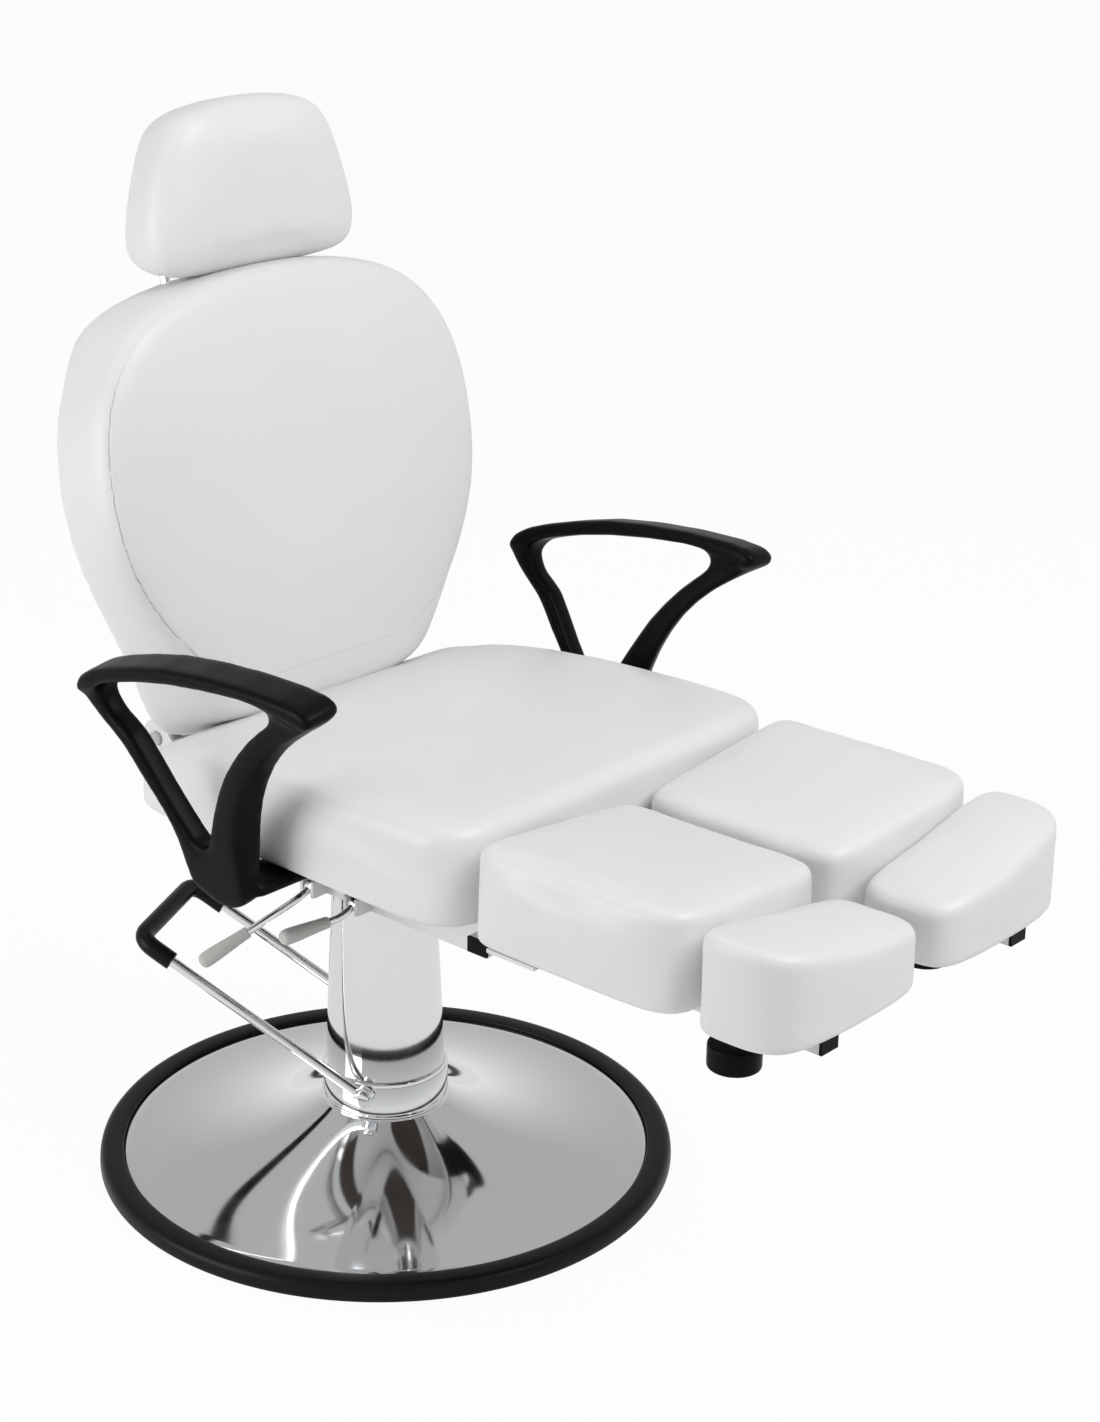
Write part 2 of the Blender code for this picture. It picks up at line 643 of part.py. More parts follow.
def base():
    """Floor plate, rubber rim, chrome cover and the collar and sleeve over the pump."""
    add("floor_plate", bar((0, 0, 0), (0, 0, FLOOR_PLATE), RIM_INNER - GAP, sides=36), STEEL, BASE)
    rim_profile = [(RIM_INNER, RIM_HEIGHT - 0.001), (RIM_INNER + 0.004, RIM_HEIGHT)]
    rim_profile += arc((BASE_RADIUS - RIM_ROUND, RIM_HEIGHT - RIM_ROUND), RIM_ROUND, 90, 0, 3)
    rim_profile += [(BASE_RADIUS, 0.0015), (BASE_RADIUS - 0.0015, 0), (RIM_INNER, 0)]
    add("base_rim", turned(rim_profile, 36), BLACK_RUBBER, BASE)

    edge = RIM_INNER - GAP
    reach = edge - NECK_RADIUS
    outer = []
    rise = NECK_HEIGHT - COVER_EDGE
    for i in range(7):
        part = 1 - i / 6
        outer.append((NECK_RADIUS + reach * (1 - part), COVER_EDGE + rise * part ** 2.4))
    inner = [(max(r - COVER_WALL, NECK_RADIUS - COVER_WALL), z - COVER_WALL) for r, z in outer]
    inner[0] = (NECK_RADIUS - 2 * COVER_WALL, NECK_HEIGHT)
    profile = outer + [(edge, PLATE_TOP), (edge - COVER_WALL, PLATE_TOP)] + list(reversed(inner))
    add("base_cover", turned(profile, 36), CHROME, BASE)

    flange_top = PLATE_TOP + FLANGE_THICK
    mouth = SLEEVE_TOP - 0.006
    body = [(CYLINDER_BORE, mouth), (CYLINDER_RADIUS, mouth), (CYLINDER_RADIUS, flange_top),
            (FLANGE_RADIUS, flange_top), (FLANGE_RADIUS, PLATE_TOP), (0, PLATE_TOP)]
    body = [(0, PLATE_TOP + CYLINDER_FLOOR), (CYLINDER_BORE, PLATE_TOP + CYLINDER_FLOOR)] + body
    add("pump_cylinder", turned(body, 24), STEEL, BASE)

    step = 0.0025
    ring = [(COLLAR_BORE, COLLAR_TOP), (NECK_RADIUS - step, COLLAR_TOP),
            (NECK_RADIUS - step / 2, COLLAR_TOP - step), (NECK_RADIUS - step / 2, COLLAR_FOOT + 3 * step),
            (NECK_RADIUS + step / 2, COLLAR_FOOT + 2 * step), (NECK_RADIUS + step / 2, COLLAR_FOOT),
            (COLLAR_BORE, COLLAR_FOOT)]
    collar = add("neck_collar", turned(ring, 32), CHROME, BASE)
    wall = SLEEVE_WALL
    sleeve = [(SLEEVE_TOP_RADIUS - wall, SLEEVE_TOP), (SLEEVE_TOP_RADIUS, SLEEVE_TOP),
              (SLEEVE_FOOT_RADIUS, SLEEVE_FOOT), (SLEEVE_FOOT_RADIUS - wall, SLEEVE_FOOT)]
    add("column_sleeve", turned(sleeve, 32), CHROME, BASE)
    low = SLEEVE_TOP + GAP
    ring = [(RAM_RADIUS + FIT, RING_TOP), (SLEEVE_TOP_RADIUS - 0.002, RING_TOP),
            (SLEEVE_TOP_RADIUS, RING_TOP - 0.002), (SLEEVE_TOP_RADIUS, low), (RAM_RADIUS + FIT, low)]
    add("guide_ring", turned(ring, 32), BLACK_PLASTIC, BASE)
    return collar


def pedal(collar):
    """The foot lever: a bent rod on two studs of the collar, with a rubber sleeve on its crossbar."""
    turn = Matrix.Rotation(PEDAL_TURN, 4, "Z")
    raised = Matrix.Translation((0, 0, PEDAL_Z)) @ turn @ Matrix.Rotation(PEDAL_SLOPE, 4, "X")
    half, length = PEDAL_HALF_WIDTH, PEDAL_LENGTH
    corner = (half - PEDAL_BEND, length - PEDAL_BEND)
    right = [(half, 0.0)] + arc(corner, PEDAL_BEND, 0, 90, 6)
    line = right + [(-x, y) for x, y in reversed(right)]
    path = [raised @ Vector((x, y, 0)) for x, y in line]
    frame = add("pedal_frame", tube(path, PEDAL_ROD), CHROME, PEDAL)
    eye_in = half - PEDAL_EYE_THICK / 2
    eye_out = half + PEDAL_EYE_THICK / 2
    flat = Matrix.Translation((0, 0, PEDAL_Z)) @ turn
    stud_end = eye_out + 0.002
    stud_start = COLLAR_BORE + 0.003
    for side in (RIGHT, LEFT):
        eye = crosswise(side * eye_in, side * eye_out, 0, 0, PEDAL_EYE)
        eye.transform(flat)
        join(frame, eye)
        stud = crosswise(side * stud_start, side * stud_end, 0, 0, PEDAL_PIN)
        stud.transform(flat)
        join(collar, stud)
    hole = crosswise(-half - PEDAL_EYE, half + PEDAL_EYE, 0, 0, PEDAL_PIN + GAP)
    hole.transform(flat)
    cut(frame, hole)

    reach = PEDAL_GRIP_REACH
    sleeve = [(half, length - reach)] + right[1:]
    sleeve += [(-x, y) for x, y in reversed(sleeve)]
    grip_path = [raised @ Vector((x, y, 0)) for x, y in sleeve]
    grip = add("pedal_grip", tube(grip_path, PEDAL_ROD + PEDAL_GRIP_WALL), BLACK_RUBBER, PEDAL)
    cut(grip, tube(path, PEDAL_ROD + GAP))


def lift():
    """The ram that rises out of the pump, and the thrust ring that the seat turns on."""
    body = [(0, SPIGOT_TOP), (SPIGOT_RADIUS, SPIGOT_TOP), (SPIGOT_RADIUS, RAM_TOP),
            (RAM_RADIUS, RAM_TOP), (RAM_RADIUS, RAM_FOOT), (0, RAM_FOOT)]
    add("lift_ram", turned(body, 24), CHROME, LIFT)
    bore = SPIGOT_RADIUS + FIT
    edge = RAM_RADIUS - 0.003
    ring = [(bore, BEARING_TOP), (edge, BEARING_TOP), (edge, RAM_TOP + GAP), (bore, RAM_TOP + GAP)]
    add("swivel_bearing", turned(ring, 24), STEEL, LIFT)


def underframe():
    """Hub, crossbar and side plates under the seat, with the tube that the legs hinge on."""
    bore = SPIGOT_RADIUS + FIT
    boss = bore + 0.010
    boss_top = SPIGOT_TOP + 0.006
    body = [(0, boss_top), (boss, boss_top), (boss, HUB_TOP), (HUB_RADIUS, HUB_TOP), (HUB_RADIUS, HUB_FOOT),
            (bore, HUB_FOOT), (bore, SPIGOT_TOP + GAP), (0, SPIGOT_TOP + GAP)]
    add("swivel_hub", turned(body, 24), STEEL, SWIVEL)

    half = SIDE_X - GAP
    depth = CROSSBAR_HALF
    crossbar = add(
        "seat_crossbar", box(-half, half, -depth, depth, CROSSBAR_FOOT, CROSSBAR_TOP), WHITE_STEEL, SWIVEL)
    cut(crossbar, bar((0, 0, CROSSBAR_FOOT - 0.01), (0, 0, CROSSBAR_TOP + 0.01), boss + 2 * FIT, sides=24))
    stay = SPRING_REAR - GAP
    lug_top = SPRING_Z + 0.016
    wide = 0.016
    join(crossbar, box(SPRING_X - wide, SPRING_X + wide, stay - 0.005, stay,
                       CROSSBAR_FOOT + 0.001, lug_top))
    cut(crossbar, bar((SPRING_X, stay - 0.02, SPRING_Z), (SPRING_X, stay + 0.02, SPRING_Z), 0.005 + GAP))

    plate_low = CROSSBAR_FOOT - 0.012
    tube_y, tube_z = HINGE_TUBE_Y, HINGE_TUBE_Z
    half_y, half_z = HINGE_TUBE_DEPTH / 2, HINGE_TUBE_HEIGHT / 2
    nose = tube_y - half_y - 0.004
    rear = SEAT_BOARD_REAR + 0.031
    eye = 0.022
    web_top = FRAME_TOP - 2 * FIT
    outline = [(nose, web_top), (nose, tube_z - half_z - 0.006), (nose + 0.075, plate_low),
               (0.09, plate_low), (RECLINE_Y, RECLINE_Z - 0.075)]
    outline += arc((RECLINE_Y, RECLINE_Z), eye, -20, 160, 9)
    outline += [(rear, RECLINE_Z), (rear, web_top)]
    flange_low = FRAME_TOP - SIDE_THICK
    for side, name in SIDES:
        middle = side * (SIDE_X + SIDE_THICK / 2)
        web = add("side_plate_" + name, plate([outline], SIDE_THICK, at_x(middle)), WHITE_STEEL, SWIVEL)
        inner = SIDE_X - FRAME_FLANGE
        join(web, side_box(side, inner, SIDE_X + SIDE_THICK / 2, nose + 0.03, 0.13, flange_low, FRAME_TOP))
        cut(web, box(-0.3, 0.3, tube_y - half_y - GAP, tube_y + half_y + GAP,
                     tube_z - half_z - GAP, tube_z + half_z + GAP))
        cut(web, crosswise(-SIDE_X * 2, SIDE_X * 2, RECLINE_Y, RECLINE_Z, HINGE_ROD + GAP))
        if side == RIGHT:
            lever_lugs(web)

    tube_half = HINGE_TUBE_HALF
    square = box(-tube_half, tube_half, tube_y - half_y, tube_y + half_y, tube_z - half_z, tube_z + half_z)
    beam = add("leg_hinge_tube", square, WHITE_STEEL, SWIVEL)
    wall = TUBE_WALL
    cut(beam, box(-tube_half - 0.01, tube_half + 0.01, tube_y - half_y + wall, tube_y + half_y - wall,
                  tube_z - half_z + wall, tube_z + half_z - wall))
    clear = LEG_TUBE_WIDTH / 2 + FIT
    for side, _ in SIDES:
        for lug in (LEG_X - clear - LUG_THICK, LEG_X + clear):
            join(beam, side_box(side, lug, lug + LUG_THICK, LEG_AXIS_Y, tube_y - half_y + wall / 2,
                                LEG_AXIS_Z - LUG_RADIUS + 0.0005, LEG_AXIS_Z + LUG_RADIUS - 0.0005))
            join(beam, crosswise(side * lug, side * (lug + LUG_THICK), LEG_AXIS_Y, LEG_AXIS_Z, LUG_RADIUS))
    reach = LEG_X + clear + LUG_THICK
    axle = reach + 0.02
    cut(beam, crosswise(-axle, axle, LEG_AXIS_Y, LEG_AXIS_Z, LEG_PIN + GAP, 12))
    across = Matrix.Translation((0, LEG_AXIS_Y, LEG_AXIS_Z)) @ Matrix.Rotation(math.radians(90), 4, "Y")
    head = reach + GAP
    tip = head + LEG_PIN_HEAD_THICK
    half_rod = [(0, tip), (LEG_PIN_HEAD, tip), (LEG_PIN_HEAD, head), (LEG_PIN, head)]
    rod = half_rod + [(radius, -x) for radius, x in reversed(half_rod)]
    add("leg_hinge_rod", turned(rod, 12, across), STEEL, SWIVEL)
    for side, name in SIDES:
        end = plug((side * tube_half, tube_y, tube_z), (side, 0, 0), half_y, half_z, wall + GAP)
        add("hinge_tube_plug_" + name, end, BLACK_PLASTIC, SWIVEL)


def plug(place, outward, half_a, half_b, fit):
    """A push-in end plug for a rectangular tube: head outside, spigot inside, as one body."""
    bm = bmesh.new()
    turn = Vector(outward).to_track_quat("Z", "Y").to_matrix().to_4x4()
    size = Matrix.Diagonal((2 * half_a, 2 * half_b, PLUG_HEAD, 1))
    if abs(outward[0]) > 0.5:
        size = Matrix.Diagonal((2 * half_b, 2 * half_a, PLUG_HEAD, 1)) if turn[2][0] else size
    middle = Vector(place) + Vector(outward) * (GAP + PLUG_HEAD / 2)
    bmesh.ops.create_cube(bm, size=1.0, matrix=Matrix.Translation(middle) @ turn @ size)
    inner = min(bm.faces, key=lambda face: face.calc_center_median().dot(Vector(outward)))
    bmesh.ops.inset_individual(bm, faces=[inner], thickness=fit, use_even_offset=True)
    grown = bmesh.ops.extrude_discrete_faces(bm, faces=[inner])
    bmesh.ops.translate(bm, vec=-Vector(outward) * PLUG_DEPTH, verts=grown["faces"][0].verts)
    return to_mesh(bm)


def lever_lugs(web):
    """Two lugs and a fixed pin on the right side plate for each control lever."""
    gap = LEVER_EYE_WIDTH / 2 + FIT
    outer = SIDE_X + SIDE_THICK / 2
    for y in (BACK_LEVER_Y, LEG_LEVER_Y):
        for low, high in ((y - gap - 0.004, y - gap), (y + gap, y + gap + 0.004)):
            join(web, side_box(RIGHT, outer, LEVER_X + 0.009, low, high, LEVER_Z - 0.009, LEVER_Z + 0.009))
        end = gap + 0.003
        join(web, bar((-LEVER_X, y - end, LEVER_Z), (-LEVER_X, y + end, LEVER_Z), LEVER_PIN))


def seat():
    """The plywood seat board and the seat cushion."""
    half = SEAT_BOARD_HALF
    board = box(-half, half, -SEAT_FRONT, SEAT_BOARD_REAR, SEAT_BOARD_FOOT, SEAT_BOARD_FOOT + SEAT_BOARD)
    add("seat_board", board, PLYWOOD, SWIVEL)

    corner, rear_corner = SEAT_CORNER, SEAT_REAR_CORNER
    front_half = [(SEAT_HALF_FRONT * share, -SEAT_FRONT) for share in (0, 0.37, 0.63)]
    front_half += arc((SEAT_HALF_FRONT - corner, -SEAT_FRONT + corner), corner, -75, 0, 4)
    rear_half = [(0.5 * (SEAT_HALF_FRONT + SEAT_HALF_REAR), (SEAT_REAR - SEAT_FRONT) / 2)]
    rear_half += arc((SEAT_HALF_REAR - rear_corner, SEAT_REAR - rear_corner), rear_corner, 0, 90, 3)
    outline = mirrored(front_half + rear_half + [(0.4 * SEAT_HALF_REAR, SEAT_REAR), (0, SEAT_REAR)])
    rings = soft_rings(SEAT_THICK, SEAT_ROUND, SEAT_CROWN)
    place = Matrix.Translation((0, 0, SEAT_FOOT))

    def fall(point):
        return SEAT_FALL * (max(point.y - SEAT_FALL_FROM, 0) / (SEAT_REAR - SEAT_FALL_FROM)) ** 2

    form = cushion(outline, rings, place, fall)
    add("seat_cushion", form, LEATHERETTE, SWIVEL, 60)


def arms():
    """Two black loops, each with a foot bolted under the seat board."""
    def at(share, rise):
        return ARM_TIP + ARM_LENGTH * share, ARM_TOP - ARM_RISE * (1 - rise)

    loop = smooth_loop([at(*point) for point in ARM_REST_TOP + ARM_STRUTS], 2)
    hole = smooth_loop([at(*point) for point in ARM_REST_UNDER + ARM_HOLE], 2)
    proud = ARM_REST_PROUD
    rest = [(y, z + proud) for y, z in (at(*point) for point in ARM_REST_TOP)]
    rest += [(y, z - proud) for y, z in (at(*point) for point in ARM_REST_UNDER[::-1])]
    pivot_z = ARM_TOP - ARM_PIVOT
    foot_y = ARM_TIP + ARM_FOOT_AT
    foot_half = ARM_FOOT_LENGTH / 2
    up = (0, 0, 1)
    board = bpy.data.objects["seat_board"]
    for side, name in SIDES:
        lean = (Matrix.Translation((side * ARM_X, 0, pivot_z)) @ Matrix.Rotation(side * ARM_LEAN, 4, "Y")
                @ Matrix.Translation((0, 0, -pivot_z)))
        face = lean @ UPRIGHT
        form = plate([loop, hole], ARM_DEPTH, face, ARM_EDGE)
        for vertex in form.vertices:
            x, y, z = vertex.co
            outward = side * x - ARM_X - (z - pivot_z) * math.tan(ARM_LEAN)
            share = min(1, (ARM_TWIST_TOP - z) / ARM_TWIST_FADE, (z - ARM_TWIST_FOOT) / ARM_TWIST_FADE,
                        (ARM_TWIST_REAR - y) / ARM_TWIST_FADE)
            vertex.co.y += ARM_TWIST * outward * max(0, share)
        arm = add("arm_" + name, form, BLACK_PLASTIC, SWIVEL, 50)
        join(arm, plate([rest], ARM_WIDTH, face, ARM_EDGE))
        inner, outer = SIDE_X + SIDE_THICK + ARM_EDGE, ARM_X - ARM_DEPTH / 2
        join(arm, side_box(side, inner, outer, foot_y - foot_half, foot_y + foot_half,
                           FRAME_TOP - ARM_FOOT, FRAME_TOP, ARM_EDGE / 2))
        x = side * (SIDE_X + SIDE_THICK + ARM_BOLT_IN)
        for y, end in ((foot_y - ARM_BOLT_PITCH / 2, "front"), (foot_y + ARM_BOLT_PITCH / 2, "rear")):
            place = (x, y, FRAME_TOP - ARM_FOOT - GAP)
            cut(arm, hole_cutter(place, up, BOLT_RADIUS + FIT, ARM_FOOT + 2 * FIT))
            below = (x, y, SEAT_BOARD_FOOT - FIT)
            cut(board, hole_cutter(below, up, BOLT_RADIUS + FIT, BOLT_GRIP + 4 * FIT))
            length = ARM_FOOT + 2 * GAP + BOLT_GRIP
            form = bolt(place, up, BOLT_HEAD, BOLT_HEAD_HEIGHT, BOLT_RADIUS, length)
            add("arm_bolt_" + name + "_" + end, form, STEEL, SWIVEL)


def on_back(x, along, behind):
    """A point given across, up along the back's front face and behind it."""
    turn = Matrix.Rotation(-BACK_TILT, 4, "X")
    return Vector((0, BACK_FOOT_Y, BACK_FOOT_Z)) + turn @ Vector((x, behind, along))


def tilted(origin, tilt):
    """Places an outline of (across, up) points on a leaning face, its thickness running backwards."""
    face = Matrix(((1, 0, 0, 0), (0, 0, 1, 0), (0, 1, 0, 0), (0, 0, 0, 1)))
    return Matrix.Translation(origin) @ Matrix.Rotation(-tilt, 4, "X") @ face


def leaning_box(origin, tilt, x0, x1, behind0, behind1, along0, along1, bevel=0.0):
    mesh = box(x0, x1, behind0, behind1, along0, along1, bevel)
    mesh.transform(Matrix.Translation(origin) @ Matrix.Rotation(-tilt, 4, "X"))
    return mesh


def back():
    """Backrest: hinge rod, crank tube, two angle arms, board, cushion and headrest guides."""
    foot = Vector((0, BACK_FOOT_Y, BACK_FOOT_Z))
    across = Matrix.Translation((0, RECLINE_Y, RECLINE_Z)) @ Matrix.Rotation(math.radians(90), 4, "Y")
    reach = SIDE_X + SIDE_THICK + GAP
    head = 0.004
    rod = [(0, reach + head), (0.012, reach + head), (0.012, reach), (HINGE_ROD, reach),
           (HINGE_ROD, -reach - head), (0, -reach - head)]
    add("back_hinge_rod", turned(rod, 20, across), STEEL, SWIVEL)

    bore = HINGE_ROD + GAP
    shell = bore + PIVOT_TUBE_WALL
    half = BACK_ARM_X - GAP
    ring = [(bore, half), (shell, half), (shell, -half), (bore, -half)]
    crank_tube = add("back_crank", turned(ring, 20, across), STEEL, RECLINE)
    tip = 0.092
    wide = 0.014
    slot = SPRING_PIN + 0.0023
    down = Matrix.Rotation(CRANK_ANGLE, 4, "X")
    hang = Matrix.Translation((CRANK_X + CRANK_THICK / 2, RECLINE_Y, RECLINE_Z)) @ down @ UPRIGHT
    outline = arc((0, 0), 0.018, 20, 160, 7) + arc((0, -tip + wide), wide, 180, 360, 7)
    opening = arc((0, -0.056 - slot), slot, 0, 180, 6) + arc((0, -tip + wide), slot, 180, 360, 6)
    join(crank_tube, plate([outline, opening], CRANK_THICK, hang))
    axle = reach + 0.02
    cut(crank_tube, crosswise(-axle, axle, RECLINE_Y, RECLINE_Z, bore))

    board_back = BACK_THICK + GAP + BACK_BOARD
    arm_face = board_back + GAP
    axis = Matrix.Rotation(BACK_TILT, 4, "X") @ (Vector((0, RECLINE_Y, RECLINE_Z)) - foot)
    eye = 0.017
    web_face = arm_face + 2 * FIT
    strap = [(web_face, BACK_ARM_TOP), (web_face, BACK_ARM_KNEE), (axis.y - eye, axis.z)]
    strap += arc((axis.y, axis.z), eye, 200, 340, 7)
    strap += [(axis.y + eye, axis.z), (arm_face + BACK_ARM_WIDTH, BACK_ARM_KNEE),
              (arm_face + BACK_ARM_WIDTH, BACK_ARM_TOP)]
    for side, name in SIDES:
        middle = side * (BACK_ARM_X + BACK_ARM_THICK / 2)
        stand = Matrix.Translation(foot) @ Matrix.Rotation(-BACK_TILT, 4, "X") @ at_x(middle)
        arm = add("back_arm_" + name, plate([strap], BACK_ARM_THICK, stand), STEEL, RECLINE)
        low, high = sorted((side * (BACK_ARM_X - 0.028), side * (BACK_ARM_X + BACK_ARM_THICK / 2)))
        join(arm, leaning_box(foot, BACK_TILT, low, high, arm_face, arm_face + BACK_FLANGE,
                              BACK_ARM_KNEE + BACK_FLANGE, BACK_ARM_TOP - BACK_FLANGE / 2))
        cut(arm, crosswise(-axle, axle, RECLINE_Y, RECLINE_Z, bore))

    outline = mirrored([(BACK_HALF * x, BACK_LOW + BACK_TALL * along) for x, along in BACK_SHAPE])
    thick = BACK_THICK
    edge = BACK_ROUND
    rings = [(edge, -BACK_CROWN, 0.6), (edge, -0.6 * BACK_CROWN, 0.8), (edge, 0.0, 1), (0.0, BACK_CROWN, 1),
             (0.0, thick / 2, 1), (0.0, thick - edge, 1), (edge / 2, thick, 1), (edge / 2, thick, 0.85)]
    form = cushion(outline, rings, Matrix())
    for vertex in form.vertices:
        across, along, behind = vertex.co
        rear = min(max(behind / thick, 0), 1)
        low = max(BACK_FLARE_FOOT - along, 0) / (BACK_FLARE_FOOT - BACK_LOW)
        high = max(along - BACK_FLARE_HEAD, 0) / (BACK_HIGH - BACK_FLARE_HEAD)
        vertex.co.x *= 1 + rear * (BACK_FLARE_LOW * low ** 2.6 + BACK_FLARE_HIGH * high)
        vertex.co.y -= BACK_SKIRT * rear ** 4 * low ** 6
        hollow = max(along / BACK_LOW, 0)
        vertex.co.z += BACK_LUMBAR * hollow ** 1.5 * (1 - behind / thick)
    form.transform(tilted(foot, BACK_TILT))
    form.flip_normals()
    add("back_cushion", form, LEATHERETTE, RECLINE, 60)
    panel = [tuple(point) for point in inset(outline, BACK_BOARD_INSET)]
    face = tilted(foot, BACK_TILT) @ Matrix.Translation((0, 0, thick + GAP + BACK_BOARD / 2))
    add("back_board", plate([panel], BACK_BOARD, face), PLYWOOD, RECLINE)

    set_back = board_back + HEAD_ROD_SET
    half = HEAD_ROD + GUIDE_WALL
    outer = HEAD_ROD_X + half
    high = BACK_HIGH - GUIDE_DEPTH
    low = high - GUIDE_LENGTH
    web = leaning_box(foot, BACK_TILT, -outer, outer, board_back + GAP, board_back + GUIDE_WEB, low, high)
    guide = add("headrest_guide", web, BLACK_PLASTIC, RECLINE)
    for side, _ in SIDES:
        x = side * HEAD_ROD_X
        block = leaning_box(foot, BACK_TILT, x - half, x + half, board_back + 2 * FIT, set_back + half,
                            low - 4 * FIT, high + 4 * FIT)
        join(guide, block)
        cut(guide, bar(on_back(x, low - half, set_back), on_back(x, high + half, set_back), HEAD_ROD + GAP))
    return set_back


def headrest(set_back):
    """Headrest cushion and board on a bracket that slides on two rods behind the back."""
    place = Vector((0, HEAD_Y, HEAD_Z))
    outline = mirrored([(HEAD_HALF * x, HEAD_LOW + HEAD_TALL * up) for x, up in HEAD_SHAPE])
    thick = HEAD_THICK
    deep = HEAD_ROUND
    rings = [(0.13 * deep, -HEAD_CROWN, 0.6), (0.13 * deep, -0.5 * HEAD_CROWN, 0.8),
             (0.13 * deep, 0.6 * HEAD_CROWN, 1), (0.0, 0.35 * deep, 1), (0.0, thick - 0.87 * deep, 1),
             (0.22 * deep, thick - 0.22 * deep, 1), (0.56 * deep, thick, 1), (0.56 * deep, thick, 0.8)]
    add("headrest_cushion", cushion(outline, rings, tilted(place, HEAD_TILT)), LEATHERETTE, HEADREST, 60)
    board = thick + GAP
    panel = leaning_box(place, HEAD_TILT, -HEAD_BOARD_HALF, HEAD_BOARD_HALF, board, board + HEAD_BOARD,
                        HEAD_BOARD_LOW, HEAD_BOARD_HIGH, 2 * FIT)
    add("headrest_board", panel, PLYWOOD, HEADREST)
    bend = HEAD_ROD_BEND
    top = BACK_HIGH + HEAD_RISE + HEAD_ROD_OVER
    right = [(HEAD_ROD_X, BACK_HIGH - HEAD_ROD_DEPTH)]
    right += arc((HEAD_ROD_X - bend, top - bend), bend, 0, 90, 5)
    hoop = right + [(-x, along) for x, along in reversed(right)]
    line = [on_back(x, along, set_back) for x, along in hoop]
    add("headrest_rod", tube(line, HEAD_ROD), CHROME, HEADREST)
    face = board + HEAD_BOARD + GAP
    block = leaning_box(place, HEAD_TILT, -BRACKET_HALF, BRACKET_HALF, face, face + BRACKET_DEPTH,
                        BRACKET_LOW, BRACKET_HIGH)
    bracket = add("headrest_bracket", block, WHITE_STEEL, HEADREST)
    for side, _ in SIDES:
        x = side * HEAD_ROD_X
        cut(bracket, bar(on_back(x, BACK_HIGH, set_back), on_back(x, top + bend, set_back), HEAD_ROD + GAP))


def gas_spring():
    """The locking gas spring between the crossbar and the back's crank."""
    x, z = SPRING_X, SPRING_Z
    rear, front = SPRING_REAR, SPRING_FRONT
    lying = Matrix.Translation((x, 0, z)) @ Matrix.Rotation(math.radians(-90), 4, "X")
    bore = SPRING_ROD + GAP
    neck, neck_end = SPRING_NECK, rear - SPRING_NECK_LENGTH
    floor = rear + SPRING_FLOOR
    edge = SPRING_RADIUS / 5
    body = [(bore, front), (SPRING_RADIUS - edge, front), (SPRING_RADIUS, front - 2 * edge),
            (SPRING_RADIUS, rear), (neck, rear), (neck, neck_end), (0, neck_end)]
    body = [(0, floor), (bore, floor)] + body
    add("gas_spring_cylinder", turned(body, 20, lying), BLACK_PLASTIC, SWIVEL)
    pin_y = RECLINE_Y + (RECLINE_Z - SPRING_Z) * math.tan(CRANK_ANGLE)
    rod_start = floor + SPRING_TRAVEL + FIT
    shaft = bar((x, rod_start, z), (x, pin_y - SPRING_PIN, z), SPRING_ROD)
    rod = add("gas_spring_rod", shaft, CHROME, SPRING)
    block = CRANK_X + CRANK_THICK + SPRING_EYE_GAP
    long, tall = SPRING_EYE_HALF, SPRING_EYE_TALL
    join(rod, box(block, x + SPRING_EYE_OUT, pin_y - long, pin_y + long, z - tall, z + tall))
    join(rod, crosswise(CRANK_X - SPRING_PIN_REACH, block + SPRING_PIN, pin_y, z, SPRING_PIN))


def legs():
    """Each leg rest: frame on its hinge, board, cushion, and the foot pad that slides out of it."""
    wall = TUBE_WALL
    half = LEG_TUBE_WIDTH / 2
    tall = LEG_TUBE_HEIGHT / 2
    top = LEG_TUBE_TOP
    for side, name in SIDES:
        hinge = empty("leg_axis_" + name, (side * LEG_X, LEG_AXIS_Y, LEG_AXIS_Z), SWIVEL)
        slide = empty("foot_slide_" + name, (side * LEG_X, LEG_TUBE_FRONT, LEG_AXIS_Z), hinge)
        screw = empty("knob_axis_" + name, (side * LEG_X, KNOB_Y, LEG_AXIS_Z - tall), hinge)
        rear = LEG_AXIS_Y + 0.012
        outer_tube = side_box(side, LEG_X - half, LEG_X + half, LEG_TUBE_FRONT, rear,
                              LEG_AXIS_Z - tall, top)
        frame = add("leg_frame_" + name, outer_tube, WHITE_STEEL, hinge)
        join(frame, side_box(side, LEG_X - LEG_PLATE_HALF, LEG_X + LEG_PLATE_HALF,
                             LEG_AXIS_Y - LEG_PLATE_FRONT, LEG_AXIS_Y + LEG_PLATE_REAR,
                             top - wall / 2, LEG_PLATE_TOP))
        boss = KNOB_BOSS
        join(frame, side_box(side, LEG_X - boss, LEG_X + boss, KNOB_Y - boss, KNOB_Y + boss,
                             LEG_AXIS_Z - tall - KNOB_BOSS_DROP, LEG_AXIS_Z - tall + wall / 2))
        cut(frame, side_box(side, LEG_X - half + wall, LEG_X + half - wall, LEG_TUBE_FRONT - wall,
                            rear + wall, LEG_AXIS_Z - tall + wall, top - wall))
        pin_in, pin_out = side * (LEG_X - 2 * half), side * (LEG_X + 2 * half)
        cut(frame, crosswise(pin_in, pin_out, LEG_AXIS_Y, LEG_AXIS_Z, LEG_PIN + GAP, 12))
        cut(frame, bar((side * LEG_X, KNOB_Y, LEG_AXIS_Z - tall - 0.02), (side * LEG_X, KNOB_Y, LEG_AXIS_Z),
                       STUD_RADIUS + GAP, sides=16))
        leg_pad(side, name, hinge)
        foot_pad(side, name, slide)
        knob(side, name, screw)


